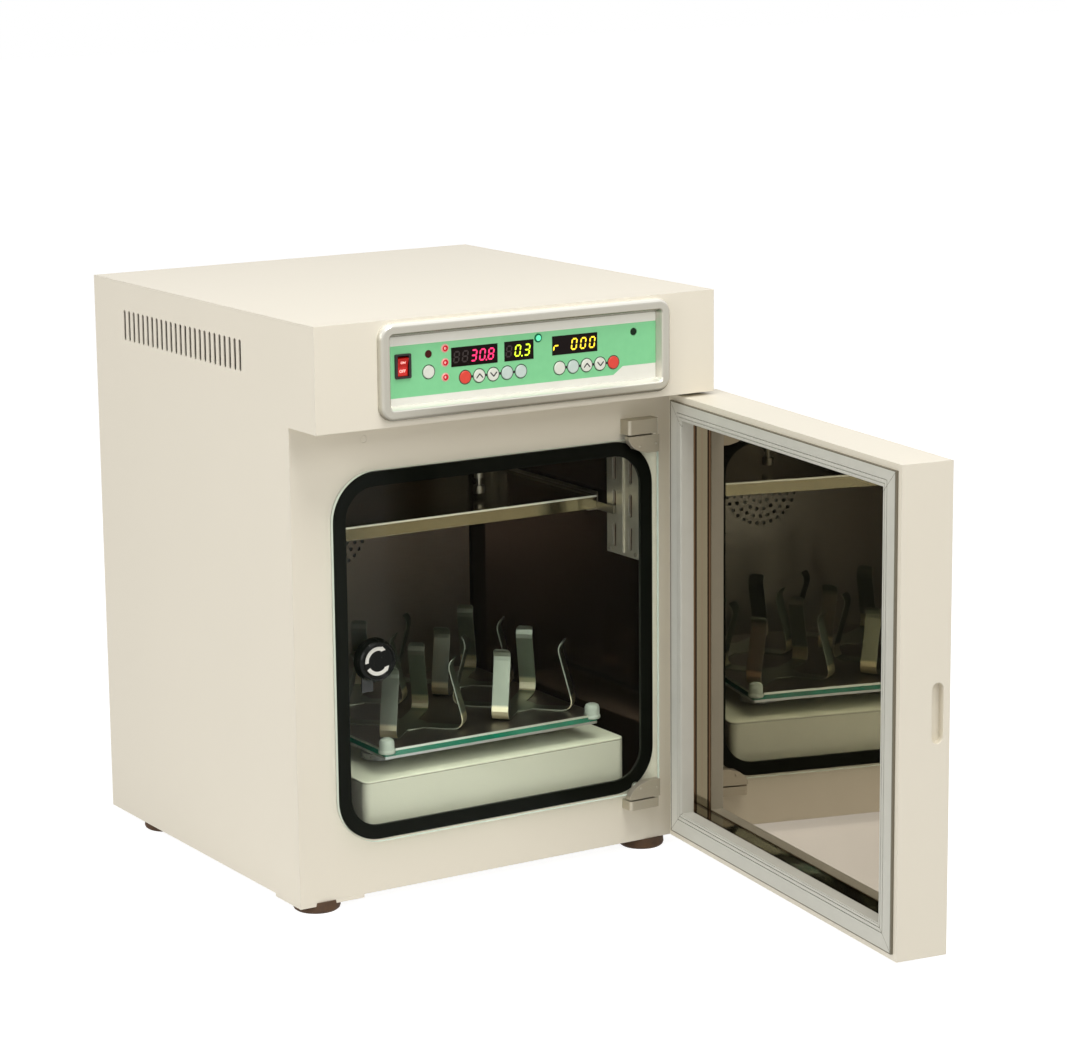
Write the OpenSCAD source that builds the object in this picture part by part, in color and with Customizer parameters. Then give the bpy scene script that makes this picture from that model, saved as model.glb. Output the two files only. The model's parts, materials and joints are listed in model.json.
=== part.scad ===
// Incubated benchtop shaker: heated chamber with a glass inner door, an insulated outer door shown
// open, and a belt-driven orbital platform with flask clamps.
// X runs along the front, Y to the back, Z up. Z = 0 is the surface that the feet stand on.

/* [Cabinet] */
// Width over the side panels
cab_w = 520; // [490:5:600]
// Depth from the front of the control head to the back panel
cab_d = 552; // [548:2:640]
// Height from the lower edge of the casing to the top cover
cab_h = 660; // [650:5:720]
// Height of the control head
head_h = 117.5; // [112:0.5:125]
// How far the control head stands out over the front frame
overhang = 62; // [62:0.5:66]
// Thickness of the painted sheet
sheet = 1.5; // [1:0.1:2]
// Height of a foot below the casing
foot_h = 13; // [11:1:25]
// Diameter of a foot at the floor
foot_d = 54; // [36:1:56]
// Number of vent slots in each side
vent_count = 25; // [5:1:30]
// Length of a vent slot
vent_h = 36; // [20:1:50]
// Width of a vent slot
vent_w = 5.5; // [3:0.5:8]

/* [Chamber] */
// Width of the opening in the front frame
opening_w = 400; // [380:2:404]
// Height of the front frame above the opening
frame_top = 69; // [66:0.5:75]
// Corner radius of the opening
opening_r = 42; // [20:1:48]
// Height of the opening above the lower edge of the casing
opening_up = 73.5; // [70:0.5:80]
// Width inside the chamber
chamber_w = 420; // [416:1:440]
// Height of the chamber floor above the lower edge of the casing
floor_up = 64; // [60:1:66]
// Space between the ceiling of the chamber and the control head
roof_space = 58.5; // [55:0.5:62]
// Space between the chamber and the outside of the back panel
rear_space = 70; // [66:1:78]
// Thickness of the stainless liner
liner_t = 1.2; // [1:0.1:1.5]
// Corner radius of the liner
liner_r = 18; // [8:1:30]
// Depth of the shelf below the ceiling of the chamber
shelf_down = 82.5; // [64:0.5:100]
// Depth of the folded shelf edge
shelf_lip = 16; // [12:0.5:18]

/* [Outer door] */
// Thickness of the outer door
door_t = 61; // [55:1:64]
// Angle at which the outer door is shown open
door_open = 82.6; // [60:0.1:110]
// Gap between the outer door and the control head
door_top_gap = 4.2; // [3.6:0.1:8]
// Gap between the lower edge of the casing and the bottom of the door
door_low_gap = 8.3; // [6:0.1:12]
// Distance of the hinge axis from the side of the cabinet
hinge_in = 6.5; // [6.5:0.5:12]
// Distance of the hinge axis in front of the inner face of the door
hinge_out = 30; // [24:0.5:32]
// Depth of the recess in the inner face
recess_d = 25.5; // [24:0.5:30]
// Width of the rim at the sides and the bottom of the recess
rim_side = 32; // [28:1:36]
// Width of the rim above the recess
rim_top = 26; // [22:1:27]

/* [Glass door] */
// Width of the pane
pane_w = 432; // [431:1:433]
// How far the pane reaches past the opening above and below
pane_over = 12.5; // [12:0.5:13]
// Corner radius of the pane on the latch side
pane_r = 55; // [50:1:60]
// Thickness of the pane
pane_t = 5; // [4:0.5:5]
// Width of the rubber seal
seal_w = 16.5; // [15:0.5:18]
// Thickness of the rubber seal
seal_t = 3.7; // [3.7:0.1:4]
// Diameter of the latch knob
knob_d = 50; // [40:1:54]
// Depth of the latch knob
knob_h = 15; // [12:0.5:17]

/* [Shaking drive] */
// Space beside the drive housing, on each side
base_side = 34; // [30:1:40]
// Depth of the chamber left free in front of the drive housing
base_front = 11; // [11:1:16]
// Depth of the chamber left free behind the drive housing
base_rear = 75; // [70:1:90]
// Height of the drive housing with its pads
base_h = 62; // [62:1:66]
// Radius of the shaking orbit
orbit_r = 12; // [8:0.5:12.5]
// Diameter of the crank shafts
shaft_d = 12; // [10:1:14]
// Diameter of the eccentric pins
pin_d = 10; // [8:0.5:10]
// Radius of the large belt pulley
big_pulley_r = 45; // [36:1:48]
// Radius of the motor pulley
small_pulley_r = 15; // [12:1:16]
// How much narrower the platform is than the drive housing
plat_less_w = 64; // [60:1:72]
// How much shallower the platform is than the drive housing
plat_less_d = 42; // [40:1:48]
// How much smaller a flask base is than the distance between neighbouring clamps
flask_less = 7; // [6:0.5:16]

/* [Control panel] */
// Width of the bezel
bezel_w = 379; // [376:1:388]
// Height of the bezel
bezel_h = 107; // [105:1:108]
// Width of the bezel bar
bezel_bar = 15.8; // [14:0.2:17]
// Diameter of a key cap
key_d = 14; // [10:0.5:14.5]
// Distance between neighbouring keys
key_pitch = 18; // [17.6:0.1:18.4]
// Travel of a key
key_travel = 0.8; // [0.4:0.1:1]

/* [Hidden] */
$fn = 64;

cream = [0.89, 0.86, 0.80];
steel = [0.72, 0.72, 0.70];
dark = [0.10, 0.10, 0.10];

// Radial clearance of a turning fit, gap at a seat, and gap beside a moving piece
fit = 0.05;
seat = 0.3;
gap = 0.5;

// Levels and planes of the cabinet
z_low = foot_h;
z_top = foot_h + cab_h;
z_head = z_top - head_h;
y_frame = overhang;
side_x = cab_w / 2;
inner_x = side_x - sheet;

door_switch_at = [-167, z_head - 21.7];

// Chamber: opening, walls and floor
opening_h = cab_h - head_h - opening_up - frame_top;
chamber_h = cab_h - head_h - floor_up - roof_space;
chamber_d = cab_d - overhang - rear_space;
open_z = z_low + opening_up + opening_h / 2;
floor_z = z_low + floor_up;
ceiling_z = floor_z + chamber_h;
wall_x = chamber_w / 2;
liner_y = y_frame + sheet;
back_y = y_frame + chamber_d;

// Outer door, as it lies when closed
door_face = y_frame - 3.5;
door_z0 = z_low + door_low_gap;
door_z1 = z_head - door_top_gap;
door_h = door_z1 - door_z0;
axis_x = side_x - hinge_in;
axis_y = door_face - hinge_out;
recess_z0 = door_z0 + rim_side;
recess_z1 = door_z1 - rim_top;
recess_x = side_x - rim_side;
hinge_pin_d = 10;
hinge_pin_in = 12;
pull_w = 14;
pull_h = 65.5;
pull_d = 9;
pull_back = 46.2;

// Glass door: planes, hinge axis and latch axis
seal_y = y_frame - seat - seal_t;
pane_y = seal_y - pane_t;
pane_h = opening_h + 2 * pane_over;
pane_x = pane_w / 2 - 213;
seal_x = 0.75;
seal_out_w = 423.5;
seal_h = pane_h - 4;
pane_hinge_x = pane_x + pane_w / 2 - 9;
pane_hinge_y = y_frame - 13.2;
pane_hinge_r = 10;
leaf_w = 42;
leaf_h = 20.5;
leaf_front = y_frame - 18;
leaf_gap = 2;
leaf_z1 = open_z + pane_h / 2 + 4.5;
block_h_top = 17;
block_h_low = 11;
leaf_out = 4;
glass_pin_d = 6;
latch_x = pane_x - pane_w / 2 + 46.5;
latch_z = open_z;
cam_t = 2;
cam_y = liner_y + liner_t + 1.6;
spindle_d = 8;

// Shaking drive
base_w = chamber_w - 2 * base_side;
base_d = chamber_d - base_front - base_rear;
base_x = 7;
base_y = y_frame + base_front + base_d / 2;
plat_w = base_w - plat_less_w;
plat_d = base_d - plat_less_d;
clamp_pitch_x = (plat_w + 12) / 2;
clamp_pitch_y = (plat_d - 16) / 2;
flask_d = min(clamp_pitch_x, clamp_pitch_y) - flask_less;
pad_h = 2;
lid_h = 3.2;
base_floor_z = floor_z + pad_h;
lid_z1 = floor_z + base_h;
lid_z0 = lid_z1 - lid_h;
base_wall = 2;
disc_z0 = lid_z1 + 3;
disc_h = 7;
disc_r = 22;
plat_z0 = lid_z1 + 20;
carrier_t = 3;
sheet_glass_t = 5.8;
plate_t = 2.7;
glass_z0 = plat_z0 + carrier_t;
plate_z0 = glass_z0 + sheet_glass_t;
plat_z1 = plate_z0 + plate_t;
boss_h = 8;
boss_r = 15;
post_r = 18;
post_z1 = base_floor_z + base_wall + 32;
pulley_z0 = post_z1 + 4;
pulley_h = 12;
motor_r = 31;
motor_shaft_d = 8;
belt_t = 1.5;
belt_gap = 0.15;
// Crank places, measured from the middle of the housing
main_at = [0, 70];
left_at = [-110, -85];
right_at = [110, -85];
motor_at = [-105, 70];
// The platform is shown with its pins at the front of the orbit
plat_x = base_x;
plat_y = base_y - orbit_r;
corner_in = 5;
corner_flange_d = 19.5;
corner_head_d = 17.5;

// Control panel: the middle of its row of parts, the middle of the bezel, and the planes of the parts
panel_x = 8.25;
panel_z = z_top - 57.75;
bezel_at = [panel_x - 1.85, panel_z + 0.6];
bezel_lip = 2;
panel_w = bezel_w - 2 * bezel_bar;
panel_h = bezel_h - 2 * bezel_bar;
panel_t = 2;
panel_face = sheet;
panel_back = panel_face + panel_t;
key_hole_gap = 0.3;
key_proud = 1.2;
key_flange_t = 1;
board_y = panel_back + 14;
board_t = 1.6;
// Offsets of the parts from the middle of the panel
row_left = [-44.25, -13.5];
row_right = [78.5, -14.5];
single_key = [-126.5, -3.5];
window_at = [[-68, 9.7, 59.5, 21.5], [-10.5, 10, 38, 22], [63, 11, 60, 21.5]];
red_lamp_at = [[-105.5, 20.7], [-105.5, 5], [-105.5, -11.2]];
blue_lamp_at = [14.7, 21.7];
lens_at = [[-126.5, 16.2], [142, 18]];
switch_at = [-159, 5.7];
switch_w = 20;
switch_h = 27;
rocker_w = 13.2;
rocker_h = 21.5;
rocker_y = panel_back + 4;
rocker_tilt = 20;

// Back of the cabinet
fan_z = open_z + 60;
fan_r = 62;
duct_y = back_y - 32;
fan_motor_r = 38;
fan_motor_h = 42;
fan_shaft_d = 8;
inlet_at = [-150, z_top - 60];
gas_at = [150, z_top - 60];
barb_len = 22;

// The origin is under the middle of the part as it stands with the door open
door_corner = [hinge_in, -(door_t - hinge_out)];
free_corner = [hinge_in - cab_w, -(door_t - hinge_out)];
x_most = axis_x + door_corner[0] * cos(door_open) - door_corner[1] * sin(door_open);
y_least = axis_y + free_corner[0] * sin(door_open) + free_corner[1] * cos(door_open);
origin_x = (x_most - side_x) / 2;
origin_y = (cab_d + barb_len + y_least) / 2;

module place() {
    translate([-origin_x, -origin_y, 0]) children();
}

// Carries what is drawn for the closed outer door to its open place
module opened() {
    translate([axis_x, axis_y, 0])
        rotate([0, 0, door_open])
            translate([-axis_x, -axis_y, 0]) children();
}

// Flat shapes in X and Z, made solid from y to y + t
module on_front(y, t) {
    translate([0, y + t, 0]) rotate([90, 0, 0]) linear_extrude(t) children();
}

// Flat shapes in Y and Z, made solid from x to x + t
module on_side(x, t) {
    translate([x, 0, 0]) rotate([90, 0, 90]) linear_extrude(t) children();
}

module round_rect(w, h, r) {
    square([w - 2 * r, h], center = true);
    square([w, h - 2 * r], center = true);
    for (x = [-1, 1], y = [-1, 1])
        translate([x * (w / 2 - r), y * (h / 2 - r)]) circle(r);
}

// A slot with round ends, standing up
module slot(w, h) {
    square([w, h - w], center = true);
    for (y = [-1, 1]) translate([0, y * (h - w) / 2]) circle(w / 2);
}

module box(x0, x1, y0, y1, z0, z1) {
    translate([x0, y0, z0]) cube([x1 - x0, y1 - y0, z1 - z0]);
}

module upright(d, z0, z1) {
    translate([0, 0, z0]) cylinder(d = d, h = z1 - z0);
}

// A round bar along Y
module lying(d, y0, y1) {
    translate([0, y1, 0]) rotate([90, 0, 0]) cylinder(d = d, h = y1 - y0);
}

// A profile carried round a rectangle with round corners. The profile's X points outwards.
module swept_frame(w, h, r) {
    for (turn = [0, 1, 2, 3]) {
        a = turn % 2 == 0 ? w / 2 : h / 2;
        b = turn % 2 == 0 ? h / 2 : w / 2;
        rotate([0, 0, 90 * turn]) {
            translate([a, b - r, 0]) rotate([90, 0, 0]) linear_extrude(2 * (b - r)) children();
            translate([a - r, b - r, 0]) rotate_extrude(angle = 90) translate([r, 0]) children();
        }
    }
}

// Cabinet

module side_outline() {
    polygon([[sheet, z_head], [sheet, z_top - sheet], [cab_d, z_top - sheet], [cab_d, z_low],
        [y_frame + sheet, z_low], [y_frame + sheet, z_head]]);
}

module vents() {
    vent_pitch = 12.35;
    first_y = 173;
    for (i = [0 : vent_count - 1])
        translate([first_y + i * vent_pitch, z_top - 51.5]) slot(vent_w, vent_h);
}

module cabinet_shell() {
    color(cream) place() {
        for (x = [-side_x, inner_x]) on_side(x, sheet) difference() {
            side_outline();
            vents();
        }
        difference() {
            box(-inner_x, inner_x, sheet, cab_d - sheet, z_head, z_head + sheet);
            translate([0, cab_d - 40, 0]) upright(30, z_head - 1, z_head + sheet + 1);
        }
        for (s = [-1, 1]) {
            cover_flange(s);
            back_flange(s);
            pan_flange(s);
        }
    }
}

flange = 14;

module cover_flange(s) {
    x = s > 0 ? inner_x - flange : -inner_x;
    box(x, x + flange, 14, cab_d - 2 * sheet, z_top - 2 * sheet, z_top - sheet);
}

module back_flange(s) {
    x = s > 0 ? inner_x - flange : -inner_x;
    box(x, x + flange, cab_d - 2 * sheet, cab_d - sheet, z_low, z_top - sheet);
}

module pan_flange(s) {
    x = s > 0 ? inner_x - flange : -inner_x;
    box(x, x + flange, y_frame + sheet, cab_d - 2 * sheet, z_low, z_low + sheet);
}

module front_frame() {
    color(cream) place() {
        on_front(y_frame, sheet) difference() {
            translate([-side_x, z_low]) square([cab_w, z_head - z_low]);
            translate([0, open_z]) round_rect(opening_w, opening_h, opening_r);
            translate(door_switch_at) circle(d = 8);
        }
        // Door switch: a flush plug held by a flange behind the sheet
        translate([door_switch_at[0], 0, door_switch_at[1]]) {
            lying(7.6, y_frame + 0.1, y_frame + sheet);
            lying(12, y_frame + sheet, y_frame + sheet + 1.5);
        }
    }
}

module head_front() {
    lip = 10;
    color(cream) place() {
        on_front(0, sheet) difference() {
            translate([-side_x, z_head]) square([cab_w, head_h]);
            translate(bezel_at)
                round_rect(panel_w + 2 * bezel_lip + 0.6, panel_h + 2 * bezel_lip + 0.6, 3.3);
        }
        box(-side_x, side_x, sheet, lip, z_top - sheet, z_top);
    }
}

module top_cover() {
    lip = 10;
    fold = 12;
    color(cream) place() {
        box(-side_x, side_x, lip + 0.4, cab_d, z_top - sheet, z_top);
        for (x = [-inner_x + flange + gap, inner_x - flange - gap - sheet])
            box(x, x + sheet, lip + 20, cab_d - 20, z_top - sheet - fold, z_top - sheet);
    }
}

module back_panel() {
    color(cream) place() {
        on_front(cab_d - sheet, sheet) difference() {
            translate([-inner_x + gap, z_low + gap])
                square([cab_w - 2 * sheet - 2 * gap, cab_h - sheet - 2 * gap]);
            translate(inlet_at) square([28, 20.4], center = true);
            translate(gas_at) circle(d = 14.4);
            for (i = [-8 : 8]) translate([i * 12, z_top - 60]) slot(vent_w, vent_h);
        }
    }
}

module base_pan() {
    wall = 16;
    color(cream) place() {
        box(-inner_x + gap, inner_x - gap, y_frame + sheet, cab_d - 2 * sheet - gap,
            z_low + sheet, z_low + 2 * sheet);
        box(-inner_x + gap, inner_x - gap, y_frame + sheet, y_frame + 2 * sheet,
            z_low + sheet, z_low + wall);
        for (x = [-inner_x + gap, inner_x - gap - sheet])
            box(x, x + sheet, y_frame + sheet, cab_d - 2 * sheet - gap, z_low + sheet, z_low + wall);
        packing_plate();
        at_feet() upright(24, z_low, z_low + sheet + 0.1);
    }
}

// The front left foot stands under a packing plate
module packing_plate() {
    box(-side_x + 0.5, -side_x + 82, y_frame, y_frame + 60, z_low - 4, z_low);
}

// The right feet stand further in, clear of the lower hinge
module at_feet() {
    left_in = 33;
    right_in = 46;
    front_y = y_frame + 23;
    rear_y = cab_d - 83;
    for (x = [-side_x + left_in, side_x - right_in], y = [front_y, rear_y])
        translate([x, y, 0]) children();
}

module feet() {
    color([0.2, 0.14, 0.1]) place() difference() {
        at_feet() rotate_extrude()
            polygon([[0, 0], [foot_d / 2 - 3, 0], [foot_d / 2 - 1, 1.5], [foot_d / 2, 4],
                [foot_d / 2 - 1, foot_h], [0, foot_h]]);
        packing_plate();
    }
}

// Control head

// Rounded outside, flat in front, with a slope and a lip that run in to the panel
module bezel_profile() {
    half = bezel_bar / 2;
    rise = 8;
    polygon([[-half, -sheet], [bezel_lip - half, -sheet], [bezel_lip - half, 0], [half, 0],
        [half, 1.5], [half - 0.4, 4], [half - 1.5, 6.4], [half - 3.2, rise - 0.2],
        [half - 4.4, rise], [5 - half, rise], [4.2 - half, rise - 0.4], [3.4 - half, rise - 1.4],
        [0.6 - half, 0], [-half, -sheet]]);
}

module bezel() {
    outer_r = bezel_bar + 1;
    color([0.75, 0.75, 0.74]) place()
        translate([bezel_at[0], 0, bezel_at[1]]) rotate([90, 0, 0])
            swept_frame(bezel_w - bezel_bar, bezel_h - bezel_bar, outer_r - bezel_bar / 2)
                bezel_profile();
}

module at_panel(p) {
    translate([panel_x + p[0], 0, panel_z + p[1]]) children();
}

// Middle of each key, from 0 to 10
function key_at(i) = i == 10 ? single_key
    : i < 5 ? row_left + [(i - 2) * key_pitch, 0]
    : row_right + [(i - 7) * key_pitch, 0];

module control_panel() {
    color([0.53, 0.83, 0.60]) place() difference() {
        translate([bezel_at[0], 0, bezel_at[1]]) on_front(panel_face, panel_t)
            round_rect(panel_w + 16, panel_h + 16, 4);
        for (i = [0 : 10]) at_panel(key_at(i)) lying(key_d + 2 * key_hole_gap, panel_face - 1, panel_back + 1);
        for (w = window_at) at_panel(w) on_front(panel_face - 1, panel_t + 2)
            square([w[2], w[3]], center = true);
        for (p = red_lamp_at) at_panel(p) lying(8.8, panel_face - 1, panel_back + 1);
        for (p = lens_at) at_panel(p) lying(8.8, panel_face - 1, panel_back + 1);
        at_panel(blue_lamp_at) lying(10.2, panel_face - 1, panel_back + 1);
        at_panel(switch_at) on_front(panel_face - 1, panel_t + 2)
            square([switch_w - 2, switch_h - 2], center = true);
    }
}

module display_windows() {
    color([0.08, 0.05, 0.05]) place()
        for (w = window_at) at_panel(w) on_front(panel_face - 0.3, panel_t + 2)
            square([w[2] - 0.2, w[3] - 0.2], center = true);
}

module lamp(d, rise) {
    translate([0, panel_face - rise, 0]) rotate([-90, 0, 0]) rotate_extrude()
        polygon([[0, 0], [d / 2 - rise, 0], [d / 2, rise], [d / 2, rise + panel_t + 1.5],
            [0, rise + panel_t + 1.5]]);
}

module indicator_lamps() {
    color([0.8, 0.15, 0.15]) place() {
        for (p = red_lamp_at) at_panel(p) lamp(8.6, 1);
        at_panel(blue_lamp_at) lamp(10, 1);
        at_panel(lens_at[0]) lamp(8.6, 0.6);
        at_panel(lens_at[1]) lamp(7.6, 0.6);
    }
}

module control_board() {
    board_w = 322;
    board_h = 66;
    stand_d = 7;
    color([0.1, 0.4, 0.2]) place() {
        difference() {
            at_panel([10, 0]) on_front(board_y, board_t) square([board_w, board_h], center = true);
            at_panel(switch_at) on_front(board_y - 1, board_t + 2)
                square([switch_w + 2, switch_h + 2], center = true);
        }
        for (x = [-1, 1], z = [-1, 1]) at_panel([10 + x * (board_w / 2 - 4), z * (board_h / 2 + 8)]) {
            lying(stand_d, panel_back, board_y + board_t + 1);
            on_front(board_y, board_t) translate([0, -z * 5]) square([8, 10], center = true);
        }
        // Key switches, display modules and lamp bases on the board
        for (i = [0 : 10]) at_panel(key_at(i))
            on_front(panel_back + 5 + key_travel, board_y - panel_back - 5 - key_travel)
                square(6, center = true);
        for (w = window_at) at_panel(w) on_front(panel_back + 2, board_y - panel_back - 2)
            square([w[2] - 3, w[3] - 3], center = true);
        for (p = concat(red_lamp_at, lens_at, [blue_lamp_at])) at_panel(p)
            lying(5, panel_back + 1.9, board_y);
    }
}

module switch_housing() {
    color(dark) place() at_panel(switch_at) difference() {
        union() {
            on_front(panel_face - 2, 2) round_rect(switch_w, switch_h, 1.5);
            on_front(panel_face - 1, 26) square([switch_w - 2.4, switch_h - 2.4], center = true);
        }
        on_front(panel_face - 3, 14) square([rocker_w + 0.8, rocker_h + 1.4], center = true);
        for (s = [-1, 1]) translate([s * (rocker_w / 2 + 0.8), rocker_y, 0]) rotate([0, 90, 0])
            cylinder(d = 2.1, h = 1.8, center = true);
    }
}

// The rocker is drawn level and turned about its pin to its on position
module switch_rocker() {
    color([0.75, 0.08, 0.08]) place() at_panel(switch_at)
        translate([0, rocker_y, 0]) rotate([rocker_tilt / 2, 0, 0]) {
            on_side(-rocker_w / 2, rocker_w) polygon([[-7, -rocker_h / 2 + 0.8], [-5.8, 0],
                [-7, rocker_h / 2 - 0.8], [-1, rocker_h / 2 - 0.8], [3, 3], [3, -3],
                [-1, -rocker_h / 2 + 0.8]]);
            for (s = [-1, 1]) translate([s * (rocker_w / 2 + 0.55), 0, 0]) rotate([0, 90, 0])
                cylinder(d = 2, h = 1.1, center = true);
        }
}

module key(i) {
    color(i == 10 ? "white" : [0.85, 0.88, 0.85]) place() at_panel(key_at(i)) {
        translate([0, panel_face - key_proud, 0]) rotate([-90, 0, 0]) rotate_extrude()
            polygon([[0, 0], [key_d / 2 - 0.6, 0], [key_d / 2, 0.6],
                [key_d / 2, key_proud + panel_t + 0.3], [key_d / 2 + 1.2, key_proud + panel_t + 0.3],
                [key_d / 2 + 1.2, key_proud + panel_t + 0.3 + key_flange_t],
                [2.5, key_proud + panel_t + 0.3 + key_flange_t],
                [2.5, key_proud + panel_t + 5 - 0.1], [0, key_proud + panel_t + 5 - 0.1]]);
    }
}

// Chamber

module liner() {
    color(steel) place() difference() {
        union() {
            translate([0, 0, floor_z + chamber_h / 2]) on_front(liner_y, chamber_d - sheet + liner_t)
                round_rect(chamber_w + 2 * liner_t, chamber_h + 2 * liner_t, liner_r + liner_t);
            translate([0, 0, floor_z + chamber_h / 2]) on_front(liner_y, liner_t)
                round_rect(chamber_w + 20, chamber_h + 20, liner_r + 8);
        }
        translate([0, 0, floor_z + chamber_h / 2]) on_front(liner_y - 1, chamber_d - sheet + 1)
            round_rect(chamber_w, chamber_h, liner_r);
        translate([0, 0, fan_z]) lying(fan_shaft_d + 6, back_y - 1, back_y + liner_t + 1);
        translate([sensor_x, sensor_y, 0]) upright(6.4, ceiling_z - 1, ceiling_z + liner_t + 1);
    }
}

foam_y0 = liner_y + liner_t + seat;
foam_y1 = back_y + 46;

module insulation() {
    color([0.9, 0.85, 0.6]) place() difference() {
        box(-inner_x + gap + sheet + 0.2, inner_x - gap - sheet - 0.2, y_frame + sheet + flange + gap,
            foam_y1, z_low + 2 * sheet, z_head);
        translate([0, 0, floor_z + chamber_h / 2])
            on_front(foam_y0, back_y + liner_t + seat - foam_y0)
                round_rect(chamber_w + 2 * liner_t + 2 * seat, chamber_h + 2 * liner_t + 2 * seat,
                    liner_r + liner_t + seat);
        translate([0, 0, fan_z]) lying(2 * fan_motor_r + 4, back_y, foam_y1 + 1);
        translate([sensor_x, sensor_y, 0]) upright(12, ceiling_z, z_head + 1);
    }
}

sensor_x = 78;
sensor_y = 225;

module sensor_probe() {
    tip_z = ceiling_z - 76;
    color([0.8, 0.8, 0.78]) place() translate([sensor_x, sensor_y, 0]) {
        upright(6, tip_z, ceiling_z + 14);
        upright(16, ceiling_z - 4, ceiling_z);
        upright(13, tip_z, tip_z + 9);
        upright(11, tip_z + 18, tip_z + 24);
    }
}

module duct_cover() {
    half_w = wall_x - 12;
    low = floor_z + 14;
    high = ceiling_z - 14;
    t = 1.2;
    color(steel) place() difference() {
        union() {
            box(-half_w, half_w, duct_y, duct_y + t, low, high);
            for (x = [-half_w, half_w - t]) box(x, x + t, duct_y, back_y, low + 30, high - 30);
        }
        // Intake grille in rings of round holes before the fan wheel
        for (ring = [1 : 5], i = [0 : 6 * ring - 1])
            rotate_about([0, fan_z], 360 * i / (6 * ring)) translate([ring * 9.5, 0, fan_z])
                lying(5, duct_y - 1, duct_y + t + 1);
    }
}

module rotate_about(p, a) {
    translate([p[0], 0, p[1]]) rotate([0, a, 0]) translate([-p[0], 0, -p[1]]) children();
}

module fan_motor() {
    color([0.3, 0.3, 0.32]) place() translate([0, 0, fan_z]) difference() {
        union() {
            lying(2 * fan_motor_r, back_y + liner_t, back_y + liner_t + fan_motor_h);
            for (a = [0, 90, 180, 270]) rotate([0, a, 0])
                translate([fan_motor_r - 4, 0, 0]) lying(7, back_y + liner_t, back_y + liner_t + 30);
        }
        lying(fan_shaft_d + 2 * fit, back_y, back_y + liner_t + 24);
    }
}

// Radial wheel: hub, back disc and blades curved back from the turning direction
module fan_wheel() {
    blades = 12;
    wheel_y0 = duct_y + 5;
    wheel_y1 = back_y - 5;
    color([0.6, 0.6, 0.6]) place() translate([0, 0, fan_z]) {
        lying(fan_shaft_d, wheel_y1 - 2, back_y + liner_t + 23);
        lying(24, wheel_y0 + 6, wheel_y1);
        lying(2 * fan_r, wheel_y1 - 1.5, wheel_y1);
        for (i = [0 : blades - 1]) rotate([0, 360 / blades * i, 0]) on_front(wheel_y0, wheel_y1 - wheel_y0 - 1)
            translate([30, 26]) difference() {
                circle(31);
                circle(29.5);
                translate([-40, -5.5]) square([80, 50]);
                translate([-80, -40]) square([80, 80]);
            }
    }
}

bracket_w = 66;
bracket_h = 130;
bracket_t = 3;
slot_out = 17;
bracket_front = y_frame + 17;
bracket_rear = back_y - 32 - bracket_w - 8;
bracket_z0 = ceiling_z - shelf_down - 65.5;

module bracket_face() {
    difference() {
        square([bracket_w, bracket_h]);
        for (x = [bracket_w / 2 - slot_out, bracket_w / 2 + slot_out], z = [22, 62, 102])
            translate([x, z]) slot(6.5, 29);
    }
}

module wall_brackets() {
    rib = 2.5;
    color(steel) place()
        for (s = [-1, 1], y = [bracket_front, bracket_rear]) {
            on_side(s > 0 ? wall_x - bracket_t : -wall_x, bracket_t)
                translate([y, bracket_z0]) bracket_face();
            on_side(s > 0 ? wall_x - bracket_t - rib : -wall_x + bracket_t, rib)
                translate([y + bracket_w / 2 - 4, bracket_z0 + 4]) square([8, bracket_h - 8]);
        }
}

rail_t = 1.5;
rail_w = 14;
shelf_z1 = ceiling_z - shelf_down;
rail_z = shelf_z1 - shelf_lip;
rail_x = wall_x - bracket_t - 0.2;

module shelf_rails() {
    arm_y0 = bracket_front + bracket_w / 2 + slot_out - 4;
    rail_y1 = bracket_rear + bracket_w / 2 - 9;
    color(steel) place()
        for (s = [0, 1]) mirror([s, 0, 0]) {
            box(rail_x - 2.7 - rail_w, rail_x - 2.7, shelf_y0, rail_y1, rail_z - rail_t, rail_z);
            box(rail_x - 2.7 - rail_t, rail_x - 2.7, shelf_y0, rail_y1, rail_z - rail_t, rail_z + 20);
            box(rail_x - 2.7 - rail_t, rail_x - 2.7, arm_y0, shelf_y0 + 1, rail_z - rail_t, rail_z + 8);
            // Tongues that stand in the lower ends of the slots
            for (y = [bracket_front + bracket_w / 2 + slot_out, bracket_rear + bracket_w / 2 - slot_out])
                box(rail_x - 3, wall_x - 0.8, y - 2.4, y + 2.4, bracket_z0 + 62 - 14.5 + 1.1, rail_z + 8);
        }
}

shelf_y0 = 160;
shelf_y1 = duct_y - 12;
shelf_x = rail_x - 2.7 - rail_t - 0.4;

module shelf() {
    t = 1.2;
    color(steel) place() difference() {
        box(-shelf_x, shelf_x, shelf_y0, shelf_y1, rail_z, shelf_z1);
        box(-shelf_x + t, shelf_x - t, shelf_y0 + t, shelf_y1 - t, rail_z - 1, shelf_z1 - t);
    }
}

// Shaking drive

module at_base(p) {
    translate([base_x + p[0], base_y + p[1], 0]) children();
}

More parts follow.
